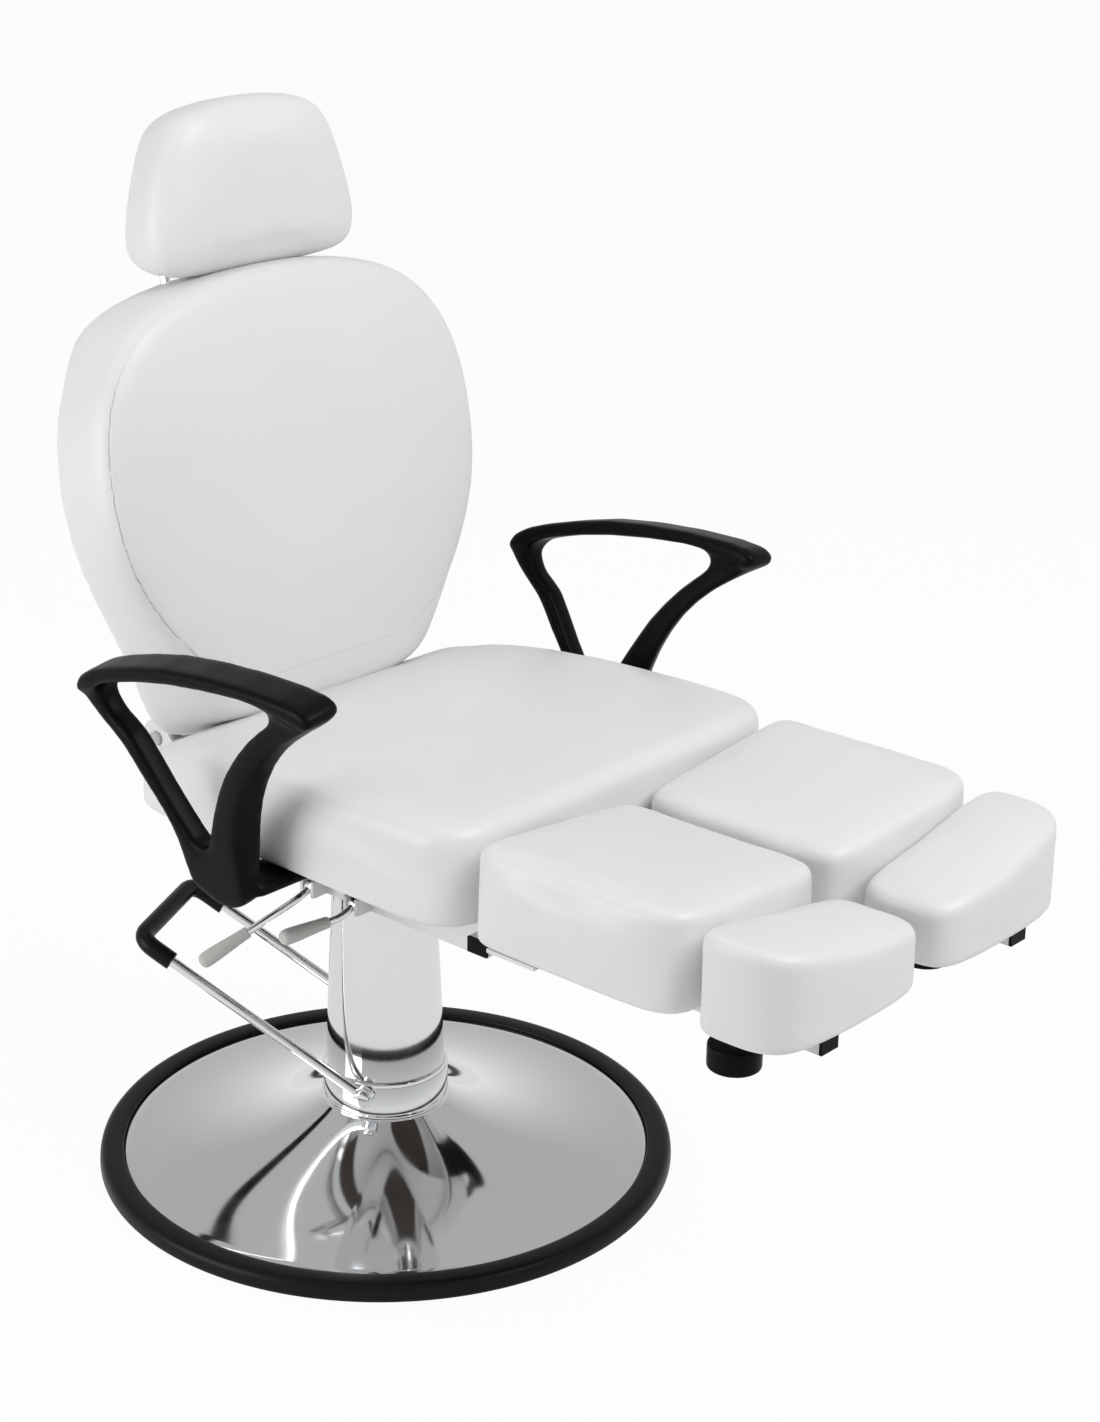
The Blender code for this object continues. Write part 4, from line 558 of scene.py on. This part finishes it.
class CHAIR_OT_base(bpy.types.Operator):
    """Make the rim, chrome cover, collar, column sleeve, guide ring and ram"""

    bl_idname = "chair.base"
    bl_label = "Base and column"

    def execute(self, context):
        sizes = context.scene.chair_sizes
        self.rim()
        self.cover(sizes)
        self.collar(sizes)
        self.column(sizes)
        return {"FINISHED"}

    def rim(self):
        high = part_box("base_rim")[1]
        outer, top = high.x, high.z
        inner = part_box("floor_plate")[1].x + RIM_GAP
        profile = rounded([(inner, 0.0, 0), (inner, top - RIM_STEP, 0.0015), (inner + RIM_LIP, top, 0.004),
                           (outer - RIM_TAPER, top, 0.009), (outer, RIM_TOE, 0.006),
                           (outer - RIM_TAPER, 0.0, 0.001)])
        dress(turn_profile(profile, BASE_SIDES), "rubber_rim", "base", "black_rubber", ["base_rim"])

    def cover(self, sizes):
        low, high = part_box("base_cover")
        edge, top = high.x, high.z
        neck = neck_radius()
        reach = edge - neck
        rise = top - sizes.cover_edge
        slope = []
        for i in range(COVER_STEPS + 1):
            part = 1 - i / COVER_STEPS
            slope.append((neck + reach * (1 - part) * COVER_SLOPE,
                          sizes.cover_edge + rise * part ** sizes.cover_curve))
        lip = [(*slope[-1], 0), (edge, sizes.cover_edge - COVER_LIP, 0.003), (edge, low.z, 0)]
        outer = slope + rounded(lip, False)[1:]
        inner = [(edge - COVER_WALL, low.z)]
        for radius, height in reversed(slope):
            inner.append((max(radius - COVER_WALL, neck - COVER_WALL), height - COVER_WALL))
        dress(turn_profile(outer + inner, BASE_SIDES), "chrome_cover", "base", "chrome", ["base_cover"])

    def collar(self, sizes):
        low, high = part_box("neck_collar")
        neck = neck_radius()
        bore = neck - COLLAR_WALL
        foot, top = low.z, high.z
        corners = [(bore, foot, 0)]
        corners += [(neck + out, foot + up, rounding) for out, up, rounding in COLLAR_FOOT]
        corners += [(neck + out, top + up, rounding) for out, up, rounding in COLLAR_HEAD]
        corners.append((bore, top, 0))
        pieces = [turn_profile(rounded(corners), COLUMN_SIDES)]
        pivot = joint_place("pedal_press")
        axis = Vector(JOINTS["pedal_press"]["axis"])
        reach = sizes.pedal_half - bore
        profile = rounded([(STUD_RADIUS, 0.0, 0), (STUD_RADIUS, reach + STUD_NECK_REACH, 0),
                           (STUD_HEAD, reach + STUD_NECK_REACH, 0.001),
                           (STUD_HEAD, reach + STUD_HEAD_REACH, 0.0015),
                           (STUD_TIP, reach + STUD_TIP_REACH, 0.001)], False)
        for side in (-1, 1):
            stud = turn_profile(profile, STUD_SIDES, False)
            start = pivot + axis * side * (bore + STUD_START)
            pieces.append(carry(stud, along(start, pivot + axis * side * (bore + 1))))
        dress(fuse(pieces), "collar", "base", "chrome", ["neck_collar"])

    def column(self, sizes):
        low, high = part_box("column_sleeve")
        wall = sizes.sleeve_wall
        foot, top = sizes.sleeve_foot, sizes.sleeve_top
        profile = rounded([(foot - wall, low.z, 0), (foot, low.z, 0.0008), (top, high.z, 0.0012),
                           (top - wall, high.z, 0)])
        dress(turn_profile(profile, COLUMN_SIDES), "chrome_sleeve", "base", "chrome", ["column_sleeve"])
        low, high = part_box("guide_ring")
        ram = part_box("lift_ram")[1].x
        profile = rounded([(ram + RAM_GAP, low.z, 0), (top, low.z, 0.0006), (top, high.z, 0.003),
                           (ram + RAM_GAP, high.z, 0.001)])
        dress(turn_profile(profile, RAM_SIDES), "ring_seal", "base", "black_plastic", ["guide_ring"])
        low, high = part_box("lift_ram")
        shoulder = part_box("swivel_bearing")[0].z
        profile = rounded([(ram - RAM_CHAMFER, low.z, 0), (ram, low.z + RAM_CHAMFER, 0),
                           (ram, shoulder, 0.001), (RAM_SPIGOT, shoulder, 0), (RAM_SPIGOT, high.z, 0)], False)
        dress(turn_profile(profile, RAM_SIDES, False), "chrome_ram", "lift", "chrome", ["lift_ram"])


# The pedal: where its rods start from the pivot, the eyes there, and the bevel of its sleeve's ends
PEDAL_START = 0.009
PEDAL_EYE = {"bore": 0.0055, "radius": 0.0125, "half": 0.0042, "rounding": 0.0015, "sides": 40}
SLEEVE_BEVEL = 0.0015


class CHAIR_OT_pedal(bpy.types.Operator):
    """Make the pump pedal: its bent rod with two eyes, and the rubber sleeve on its crossbar"""

    bl_idname = "chair.pedal"
    bl_label = "Pump pedal"

    def execute(self, context):
        sizes = context.scene.chair_sizes
        pivot = joint_place("pedal_press")
        axis = -Vector(JOINTS["pedal_press"]["axis"])
        rearward = UP.cross(axis)
        rise = rearward * math.cos(sizes.pedal_slope) + UP * math.sin(sizes.pedal_slope)
        half, reach = sizes.pedal_half, sizes.pedal_length

        def place(across, out):
            return pivot + axis * across + rise * out

        def loop(start):
            return [place(half, start), place(half, reach), place(-half, reach), place(-half, start)]

        pieces = [bent_rod(loop(PEDAL_START), sizes.pedal_rod, sizes.pedal_bend)]
        for side in (-1, 1):
            turned = along(place(side * half, 0), place(side * (half + 1), 0))
            pieces.append(carry(eye_ring(**PEDAL_EYE), turned))
        dress(fuse(pieces), "pedal_rod", "pedal", "chrome", ["pedal_frame"])

        sleeve = bent_rod(loop(reach - sizes.pedal_sleeve_reach), sizes.pedal_sleeve, sizes.pedal_bend, 8)
        modify(sleeve, "BEVEL", width=SLEEVE_BEVEL, segments=2, limit_method="ANGLE",
               angle_limit=math.radians(60))
        dress(sleeve, "pedal_sleeve", "pedal", "black_rubber", ["pedal_grip"])
        return {"FINISHED"}


class CHAIR_OT_arms(bpy.types.Operator):
    """Make the two moulded loop arms"""

    bl_idname = "chair.arms"
    bl_label = "Loop arms"

    def execute(self, context):
        sizes = context.scene.chair_sizes
        for name in SIDES:
            arm = copy_of("arm_" + name)
            for push in (sizes.arm_fillet, -sizes.arm_fillet):
                modify(arm, "REMESH", mode="VOXEL", voxel_size=sizes.arm_mesh)
                modify(arm, "SMOOTH", factor=0.5, iterations=10)
                modify(arm, "DISPLACE", strength=push, mid_level=0)
            modify(arm, "REMESH", mode="VOXEL", voxel_size=sizes.arm_mesh)
            modify(arm, "SMOOTH", factor=0.5, iterations=12)
            dress(arm, "loop_arm_" + name, "seat", "black_plastic", ["arm_" + name], smooth=80)
        return {"FINISHED"}


# The levers: the knee from the pivot, the rod's radius, bend and start, and how far it enters the grip
LEVER_KNEE = (-0.024, 0, -0.008)
LEVER_ROD = 0.004
LEVER_BEND = 0.008
LEVER_START = 0.3
LEVER_OVERLAP = 0.020
LEVER_EYE = {"bore": 0.0034, "radius": 0.008, "half": 0.0055, "rounding": 0.001, "sides": 32}

# The grips: length, radius, shares of it that the end lies inside the box, and (radius, along, rounding)
GRIP_LENGTH = 0.058
GRIP_RADIUS = 0.0085
GRIP_INSET = Vector((0.6, 0.9, 0.8))
GRIP_OUTLINE = ((0.0043, 0.0, 0), (0.0062, 0.0, 0.001), (0.0066, 0.012, 0.004), (0.0085, 0.045, 0.01),
                (0.0082, 0.058, 0.006), (0.0015, 0.0605, 0.004))


class CHAIR_OT_levers(bpy.types.Operator):
    """Make the two release levers with their grips"""

    bl_idname = "chair.levers"
    bl_label = "Release levers"

    def execute(self, context):
        for name in ("back_lever", "leg_lever"):
            root = joint_place(name + "_pull")
            low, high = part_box(name + "_grip")
            knee = root + Vector(LEVER_KNEE)
            inset = GRIP_INSET * GRIP_RADIUS
            ahead = low.y + high.y < root.y * 2
            end = Vector((low.x + inset.x, low.y + inset.y if ahead else high.y - inset.y, low.z + inset.z))
            lie = (end - knee).normalized()
            rod = bent_rod([root + (knee - root) * LEVER_START, knee, end - lie * LEVER_OVERLAP],
                           LEVER_ROD, LEVER_BEND)
            eye = carry(eye_ring(**LEVER_EYE), along(root, root + Vector((0, 1, 0))))
            dress(fuse([rod, eye]), name + "_rod", name, "chrome", [name])
            grip = turn_profile(rounded(GRIP_OUTLINE, False, 6), GRIP_SIDES, False)
            carry(grip, along(end - lie * GRIP_LENGTH, end))
            dress(grip, name + "_handle", name, "grey_plastic", [name + "_grip"])
        return {"FINISHED"}


# The knobs: the radii of the foot and the crown as shares of the knob's, and of the stud's end of the stud's
KNOB_FOOT = 0.8
KNOB_CROWN = 0.5
KNOB_STUD_END = 0.8


class CHAIR_OT_knobs(bpy.types.Operator):
    """Make the two squat clamp knobs on their studs"""

    bl_idname = "chair.knobs"
    bl_label = "Clamp knobs"

    def execute(self, context):
        sizes = context.scene.chair_sizes
        edge, rise, stem = sizes.knob_edge, sizes.knob_dome, sizes.knob_stud
        for name in SIDES:
            low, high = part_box("clamp_knob_" + name)
            axis = Matrix.Translation(joint_place(name + "_knob_turn") * Vector((1, 1, 0)))
            radius = (high.x - low.x) / 2
            head = low.z + sizes.knob_height
            profile = rounded([(radius * KNOB_FOOT, low.z, 0), (radius, low.z, edge),
                               (radius, head - rise, edge), (radius * KNOB_CROWN, head, 2 * edge),
                               (stem, head, 0)], False)
            body = carry(turn_profile(profile, KNOB_SIDES, False), axis)
            dress(body, "knob_" + name, "knob_" + name, "black_plastic", ["clamp_knob_" + name], smooth=40)
            thin = stem * KNOB_STUD_END
            profile = [(thin, head - rise), (stem, head), (stem, high.z - rise), (thin, high.z)]
            stud = carry(turn_profile(profile, STUD_SIDES, False), axis)
            dress(stud, "knob_stud_" + name, "knob_" + name, "bright_steel")
        return {"FINISHED"}


# The cloth that swells the pads
CLOTH_PRESSURE = 4.0
CLOTH_STIFFNESS = 25
CLOTH_SHEAR = 12
CLOTH_BENDING = 2
CLOTH_QUALITY = 4
CLOTH_FRAMES = 20
CLOTH_EVENING = 12


def inflate(obj, sizes, held):
    """Swell a pad with cloth simulation. held says which points stay, as shares from 0 to 1."""
    start, _ = points_of(obj)
    group = obj.vertex_groups.new(name="held")
    for index, share in enumerate(held):
        if share > 0:
            group.add([index], float(share), "REPLACE")
    only(obj)
    cloth = obj.modifiers.new("Cloth", "CLOTH")
    cloth.settings.use_pressure = True
    cloth.settings.uniform_pressure_force = CLOTH_PRESSURE
    cloth.settings.effector_weights.gravity = 0
    cloth.settings.tension_stiffness = CLOTH_STIFFNESS
    cloth.settings.compression_stiffness = CLOTH_STIFFNESS
    cloth.settings.shear_stiffness = CLOTH_SHEAR
    cloth.settings.bending_stiffness = CLOTH_BENDING
    cloth.settings.vertex_group_mass = "held"
    cloth.settings.quality = CLOTH_QUALITY
    cloth.collision_settings.use_collision = False
    cloth.collision_settings.use_self_collision = False
    cloth.point_cache.frame_start = 1
    cloth.point_cache.frame_end = CLOTH_FRAMES
    for number in range(1, CLOTH_FRAMES + 1):
        bpy.context.scene.frame_set(number)
    bpy.ops.object.modifier_apply(modifier=cloth.name)
    bpy.context.scene.frame_set(1)
    obj.vertex_groups.clear()
    moved, _ = points_of(obj)
    step = moved - start
    far = np.linalg.norm(step, axis=1, keepdims=True)
    step *= np.minimum(1, sizes.swell / np.maximum(far, 1e-9))
    set_points(obj, start + evened(obj, step, CLOTH_EVENING))


def evened(obj, values, rounds):
    """Values on a mesh's points, averaged with those of their neighbours."""
    ends = np.empty(len(obj.data.edges) * 2, dtype=np.int64)
    obj.data.edges.foreach_get("vertices", ends)
    one, other = ends[0::2], ends[1::2]
    number = np.bincount(ends, minlength=len(values))[:, None]
    for _ in range(rounds):
        total = np.zeros_like(values)
        np.add.at(total, one, values[other])
        np.add.at(total, other, values[one])
        values = (values + total / np.maximum(number, 1)) / 2
    return values


SEAM_DEPTH = 0.0016
SEAM_TOLERANCE = 0.00001


def sew(obj, point, normal, half, fade):
    """A sewn seam where a plane meets the pad: three cuts, the middle one drawn in as far as fade says."""
    edit(obj)
    normal = Vector(normal).normalized()
    for offset in (-half, half, 0.0):
        bpy.ops.mesh.select_all(action="SELECT")
        bpy.ops.mesh.bisect(plane_co=Vector(point) + normal * offset, plane_no=normal)
    done()
    places, normals = points_of(obj)
    away = (places - np.array(point)) @ np.array(normal)
    on_seam = np.abs(away) < SEAM_TOLERANCE
    places[on_seam] -= normals[on_seam] * SEAM_DEPTH * fade(places[on_seam])[:, None]
    set_points(obj, places)


# A lying pad: the share of its height where its sides are straight, how often its outline is smoothed,
# how level the normals of its top are, and the shares at which its top is divided
SIDE_LEVEL = 0.4
OUTLINE_ROUNDS = 4
TOP_LEVEL = 0.93
TOP_SHARES = np.linspace(0.9, 0.1, 9)


def side_outline(solid, step):
    """The outline of a lying pad's solid where its sides are straight, evenly stepped, and its foot."""
    places, _ = points_of(solid)
    foot, top = places[:, 2].min(), places[:, 2].max()
    form = bmesh.new()
    form.from_mesh(solid.data)
    cut = bmesh.ops.bisect_plane(form, geom=form.verts[:] + form.edges[:] + form.faces[:],
                                 plane_co=(0, 0, foot + (top - foot) * SIDE_LEVEL), plane_no=(0, 0, 1))
    points = np.array([item.co.xy for item in cut["geom_cut"] if isinstance(item, bmesh.types.BMVert)])
    form.free()
    spread = points - points.mean(axis=0)
    points = points[np.argsort(np.arctan2(spread[:, 1], spread[:, 0]))]
    points = np.vstack((points, points[:1]))
    run = np.concatenate(([0.0], np.cumsum(np.linalg.norm(np.diff(points, axis=0), axis=1))))
    even = np.linspace(0, run[-1], round(run[-1] / step), endpoint=False)
    outline = np.column_stack([np.interp(even, run, points[:, axis]) for axis in (0, 1)])
    for _ in range(OUTLINE_ROUNDS):
        outline = (np.roll(outline, 1, axis=0) + 2 * outline + np.roll(outline, -1, axis=0)) / 4
    return outline, foot


def inward_of(outline):
    """Unit vectors that point from a closed outline's points to its inside."""
    run = np.roll(outline, -1, axis=0) - np.roll(outline, 1, axis=0)
    inward = np.column_stack((-run[:, 1], run[:, 0]))
    return inward / np.linalg.norm(inward, axis=1, keepdims=True)


def crest_of(solid):
    """A function that gives the height of a lying pad's top, fitted to the middle of its solid's top."""
    places, normals = points_of(solid)
    top = places[(normals[:, 2] > TOP_LEVEL) & (places[:, 2] > places[:, 2].mean())]
    middle = top[:, :2].mean(axis=0)

    def terms(points):
        x, y = (points - middle).T
        return np.column_stack((np.ones(len(x)), x, y, x * x, x * y, y * y, y ** 3))

    weights = np.linalg.lstsq(terms(top[:, :2]), top[:, 2], rcond=None)[0]
    return lambda points: terms(points) @ weights


def ring_mesh(name, rings):
    """A closed mesh through rings of points, each ring with the same number."""
    count = len(rings[0])
    faces = [tuple(reversed(range(count)))]
    for level in range(len(rings) - 1):
        for i in range(count):
            k = (i + 1) % count
            low, high = level * count, (level + 1) * count
            faces.append((low + i, low + k, high + k, high + i))
    last = (len(rings) - 1) * count
    faces.append(tuple(range(last, last + count)))
    data = bpy.data.meshes.new(name + "_cover")
    data.from_pydata(np.vstack(rings).tolist(), [], faces)
    obj = bpy.data.objects.new(data.name, data)
    bpy.context.scene.collection.objects.link(obj)
    return obj


def back_lean():
    """The backrest's direction inwards, where its front face lies along it, and its depth."""
    axis = Vector(JOINTS["headrest_height"]["axis"])
    inward = np.array((0.0, axis.z, -axis.y))
    cushion, _ = points_of(NODES["back_cushion"])
    near, far = (cushion @ inward).min(), (cushion @ inward).max()
    return inward, near, far - near


def rising(values, start, over):
    """Shares that rise from 0, where a value reaches start, to 1 within a distance."""
    return np.clip((values - start) / over, 0, 1)


# A fill share that each cushion's finish is given, and the mesh of the finer ones as shares of the seat's
FILL = 0.9
HEAD_FINE = 0.7
LYING_PADS = (("leg", 0.7), ("foot", 0.6))

# The back's cover: the foot that is drawn down, the rear that is held, and the pull of its seam
BACK_DROP_FROM = 0.10
BACK_DROP_OVER = 0.08
BACK_HELD = 0.020
BACK_HELD_OVER = 0.015
SEAM_PULL = 0.6
SEAM_PULL_WIDTH = 0.006

# Where the back's seam fades: below the top, to a share that stays, and above the foot
SEAM_TOP = 0.04
SEAM_TOP_OVER = 0.06
SEAM_TOP_LEAST = 0.1
SEAM_FOOT = 0.025
SEAM_FOOT_OVER = 0.025

# The headrest's cover: the foot that is drawn down, and the rear that is held
HEAD_DROP_OVER = 0.04
HEAD_HELD = 0.03
HEAD_HELD_OVER = 0.02


class CHAIR_OT_upholstery(bpy.types.Operator):
    """Make the seven cushions from their frame solids, swollen by simulation and sewn"""

    bl_idname = "chair.upholstery"
    bl_label = "Upholstery"

    def execute(self, context):
        self.sizes = context.scene.chair_sizes
        self.seat()
        self.back()
        self.headrest()
        for name in SIDES:
            for kind, fine in LYING_PADS:
                self.lying_pad(kind, name, fine)
        return {"FINISHED"}

    def pad(self, node, voxel):
        """A smooth, even mesh of a cushion's solid."""
        obj = copy_of(node)
        edit(obj)
        bpy.ops.mesh.select_all(action="SELECT")
        bpy.ops.mesh.tris_convert_to_quads(face_threshold=math.radians(50), shape_threshold=math.radians(60))
        done()
        modify(obj, "SUBSURF", levels=2, render_levels=2)
        modify(obj, "REMESH", mode="VOXEL", voxel_size=voxel)
        modify(obj, "SMOOTH", factor=0.5, iterations=4)
        return obj

    def tailored(self, node, edge, voxel):
        """A lying pad with a taut cover: straight sides, a narrow round edge and its solid's top."""
        solid = copy_of(node)
        outline, foot = side_outline(solid, self.sizes.pad_step)
        foot -= self.sizes.pad_skirt
        hem = self.sizes.pad_hem
        crest = crest_of(solid)
        bpy.data.objects.remove(solid)
        inward = inward_of(outline)
        rings = []
        for inset, lift in ((edge, 0.0), (hem, 0.0), (0.0, hem)):
            rings.append(np.column_stack((outline + inward * inset, np.full(len(outline), foot + lift))))
        for degrees in range(0, 91, 15):
            turn = math.radians(degrees)
            place = outline + inward * edge * (1 - math.cos(turn))
            rings.append(np.column_stack((place, crest(place) - edge * (1 - math.sin(turn)))))
        middle = outline.mean(axis=0)
        brink = rings[-1][:, :2]
        for share in TOP_SHARES:
            place = middle + (brink - middle) * share
            rings.append(np.column_stack((place, crest(place))))
        obj = ring_mesh(node, rings)
        modify(obj, "REMESH", mode="VOXEL", voxel_size=voxel)
        modify(obj, "SMOOTH", factor=0.5, iterations=3)
        places, _ = points_of(obj)
        self.swell(obj, rising(-places[:, 2], -(foot + 2 * edge), edge))
        return obj

    def swell(self, obj, held):
        inflate(obj, self.sizes, held)
        modify(obj, "SUBSURF", levels=1, render_levels=1)

    def finish(self, obj, name, body, node, fill):
        dress(obj, name, body, "white_leatherette", [node], smooth=60)

    def seat(self):
        obj = self.tailored("seat_cushion", self.sizes.seat_edge, self.sizes.voxel)
        self.finish(obj, "seat_upholstery", "seat", "seat_cushion", FILL)

    def back(self):
        sizes = self.sizes
        obj = self.pad("back_cushion", sizes.voxel)
        places, _ = points_of(obj)
        inward, front, deep = back_lean()
        up = np.cross((1.0, 0.0, 0.0), inward)
        depth = places @ inward - front
        level = places @ up
        drop = rising(-level, -(level.min() + BACK_DROP_FROM), BACK_DROP_OVER) * sizes.back_drop
        places -= up * drop[:, None]
        set_points(obj, places)
        held = rising(depth, deep - BACK_HELD, BACK_HELD_OVER)
        seam = np.exp(-((depth - sizes.back_seam) / SEAM_PULL_WIDTH) ** 2) * SEAM_PULL
        self.swell(obj, np.maximum(held, seam))
        low, top = level[depth < deep / 3].min(), level.max()

        def fade(points):
            height = points @ up
            below = np.maximum(rising(-height, SEAM_TOP - top, SEAM_TOP_OVER), SEAM_TOP_LEAST)
            return below * rising(height, low + SEAM_FOOT, SEAM_FOOT_OVER)

        sew(obj, inward * (front + sizes.back_seam), inward, sizes.seam, fade)
        self.finish(obj, "back_upholstery", "back", "back_cushion", FILL)

    def headrest(self):
        obj = self.pad("headrest_cushion", self.sizes.voxel * HEAD_FINE)
        places, _ = points_of(obj)
        low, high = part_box("headrest_cushion")
        drop = rising(-places[:, 2], -(low.z + HEAD_DROP_OVER), HEAD_DROP_OVER)
        places[:, 2] -= drop * self.sizes.head_drop
        set_points(obj, places)
        self.swell(obj, rising(places[:, 1], high.y - HEAD_HELD, HEAD_HELD_OVER))
        self.finish(obj, "headrest_upholstery", "headrest", "headrest_cushion", FILL)

    def lying_pad(self, kind, name, fine):
        node = kind + "_cushion_" + name
        obj = self.tailored(node, self.sizes.pad_edge, self.sizes.voxel * fine)
        self.finish(obj, kind + "_upholstery_" + name, kind + "_" + name, node, FILL)


HARD_EDGE = math.radians(30)


class CHAIR_OT_hardware(bpy.types.Operator):
    """Give the frame's own steel, plastic and plywood pieces their finishes"""

    bl_idname = "chair.hardware"
    bl_label = "Frame pieces"

    def execute(self, context):
        slots = {row["node"]: row["material_slot"] for row in frame["record"]["subparts"]}
        for name, obj in NODES.items():
            if obj.hide_render:
                continue
            obj.data.materials.clear()
            obj.data.materials.append(FINISHES[slots[name]])
            obj.data.polygons.foreach_set("use_smooth", [True] * len(obj.data.polygons))
            weld = obj.modifiers.new("Weld", "WELD")
            weld.merge_threshold = WELD
            split = obj.modifiers.new("Edge Split", "EDGE_SPLIT")
            split.split_angle = HARD_EDGE
        return {"FINISHED"}


# The floor, and how brightly it is seen in the chair's shiny surfaces
FLOOR_SIZE = 30
FLOOR_HEIGHT = -0.0005
FLOOR_LOOK = {"Base Color": (0.86, 0.86, 0.86), "Roughness": 0.9, "Specular IOR Level": 0.1}
FLOOR_MIRRORED = 0.78
FLOOR_GLOW = 0.955

# The studio's soft light, and its walls in shiny surfaces: level, fall with height and the least
SOFT_LIGHT = 0.36
WALL_LEVEL = 0.84
WALL_FALL = 0.75
WALL_LEAST = 0.45
WHITE = (1, 1, 1, 1)

# The lamps: name, place, target, size and watts
LAMPS = (("left", (-2.7, 1.0, 1.0), (0, -0.1, 0.6), 1.8, 39),
         ("right", (0.4, -2.3, 2.9), (0, 0, 0.8), 1.8, 60),
         ("top", (-0.2, 0.2, 3.2), (0, 0, 0.5), 2.0, 10))

# The camera: place, turn about the vertical, drop below level, lens, sensor and shift
CAMERA_PLACE = (-1.9477, -1.9411, 1.5700)
CAMERA_TURN = -0.814512
CAMERA_DROP = 0.359576
CAMERA_LENS = 68.13
CAMERA_SENSOR = 36
CAMERA_SHIFT = (0.0695, 0.0013)


def plainly_seen(tree):
    """Two values: 1 for a ray from the camera, and 1 for one off a shiny surface or through glass."""
    path = tree.nodes.new("ShaderNodeLightPath")
    camera, glossy, through = (Socket(tree, path.outputs[name]) for name in
                               ("Is Camera Ray", "Is Glossy Ray", "Is Transmission Ray"))
    return camera, glossy.math("MAXIMUM", glossy, through) * (1 - camera)


def blended(tree, share, first, second, output):
    """Mix two shaders and show the result."""
    blend = tree.nodes.new("ShaderNodeMixShader")
    plug(tree, blend.inputs[0], share)
    tree.links.new(first.outputs[0], blend.inputs[1])
    tree.links.new(second.outputs[0], blend.inputs[2])
    tree.links.new(blend.outputs[0], tree.nodes[output].inputs["Surface"])


class CHAIR_OT_stage(bpy.types.Operator):
    """Set the pale floor, the soft lights, the background and the camera"""

    bl_idname = "chair.stage"
    bl_label = "Stage"

    def execute(self, context):
        self.floor()
        self.world(context.scene)
        for lamp in LAMPS:
            self.lamp(*lamp)
        self.camera(context.scene)
        context.scene.view_settings.view_transform = "Standard"
        return {"FINISHED"}

    def floor(self):
        bpy.ops.object.select_all(action="DESELECT")
        bpy.ops.mesh.primitive_plane_add(size=FLOOR_SIZE, location=(0, 0, FLOOR_HEIGHT))
        obj = bpy.context.active_object
        obj.name = "floor"
        settle(obj)
        made = Finish("pale_floor", FLOOR_LOOK)
        camera, other = plainly_seen(made.tree)
        glow = made.tree.nodes.new("ShaderNodeEmission")
        plug(made.tree, glow.inputs["Strength"], camera + other * FLOOR_MIRRORED)
        blended(made.tree, (camera + other) * FLOOR_GLOW, made.shader, glow, "Material Output")
        obj.data.materials.append(made.material)

    def world(self, scene):
        world = bpy.data.worlds.new("studio")
        world.use_nodes = True
        scene.world = world
        tree = world.node_tree
        soft = tree.nodes["Background"]
        soft.inputs["Color"].default_value = WHITE
        soft.inputs["Strength"].default_value = SOFT_LIGHT
        camera, other = plainly_seen(tree)
        toward = tree.nodes.new("ShaderNodeTexCoord")
        split = tree.nodes.new("ShaderNodeSeparateXYZ")
        tree.links.new(toward.outputs["Generated"], split.inputs[0])
        height = Socket(tree, split.outputs["Z"])
        walls = height.math("MAXIMUM", WALL_LEVEL - height * WALL_FALL, WALL_LEAST)
        seen = tree.nodes.new("ShaderNodeBackground")
        seen.inputs["Color"].default_value = WHITE
        plug(tree, seen.inputs["Strength"], camera + other * walls)
        blended(tree, camera + other, soft, seen, "World Output")

    def lamp(self, name, place, target, size, watts):
        data = bpy.data.lights.new(name, "AREA")
        data.size = size
        data.energy = watts
        obj = bpy.data.objects.new(name, data)
        obj.location = place
        obj.rotation_euler = (Vector(target) - Vector(place)).to_track_quat("-Z", "Y").to_euler()
        bpy.context.scene.collection.objects.link(obj)

    def camera(self, scene):
        data = bpy.data.cameras.new("camera")
        data.sensor_width = CAMERA_SENSOR
        data.lens = CAMERA_LENS
        data.shift_x, data.shift_y = CAMERA_SHIFT
        obj = bpy.data.objects.new("camera", data)
        level = math.cos(CAMERA_DROP)
        forward = Vector((-math.sin(CAMERA_TURN) * level, math.cos(CAMERA_TURN) * level,
                          -math.sin(CAMERA_DROP)))
        obj.location = CAMERA_PLACE
        obj.rotation_euler = forward.to_track_quat("-Z", "Y").to_euler()
        scene.collection.objects.link(obj)
        scene.camera = obj


OPERATORS = (CHAIR_OT_base, CHAIR_OT_pedal, CHAIR_OT_arms, CHAIR_OT_levers, CHAIR_OT_knobs,
             CHAIR_OT_upholstery, CHAIR_OT_hardware, CHAIR_OT_stage)


class CHAIR_PT_looks(bpy.types.Panel):
    """The chair's operators, sizes and colours"""

    bl_idname = "CHAIR_PT_looks"
    bl_label = "Pedicure Chair"
    bl_space_type = "VIEW_3D"
    bl_region_type = "UI"
    bl_category = "Chair"

    def draw(self, context):
        for operator in OPERATORS:
            self.layout.operator(operator.bl_idname)
        for group in (context.scene.chair_sizes, context.scene.chair_finishes):
            box = self.layout.box()
            for name in group.__annotations__:
                box.prop(group, name)


CLASSES = (ChairFinishes, ChairSizes, *OPERATORS, CHAIR_PT_looks)


def register():
    for made in CLASSES:
        bpy.utils.register_class(made)
    bpy.types.Scene.chair_finishes = PointerProperty(type=ChairFinishes)
    bpy.types.Scene.chair_sizes = PointerProperty(type=ChairSizes)


def unregister():
    del bpy.types.Scene.chair_sizes
    del bpy.types.Scene.chair_finishes
    for made in reversed(CLASSES):
        bpy.utils.unregister_class(made)


def main():
    register()
    write_finishes(bpy.context.scene.chair_finishes)
    for operator in OPERATORS:
        group, name = operator.bl_idname.split(".")
        getattr(getattr(bpy.ops, group), name)()


if __name__ == "__main__":
    main()
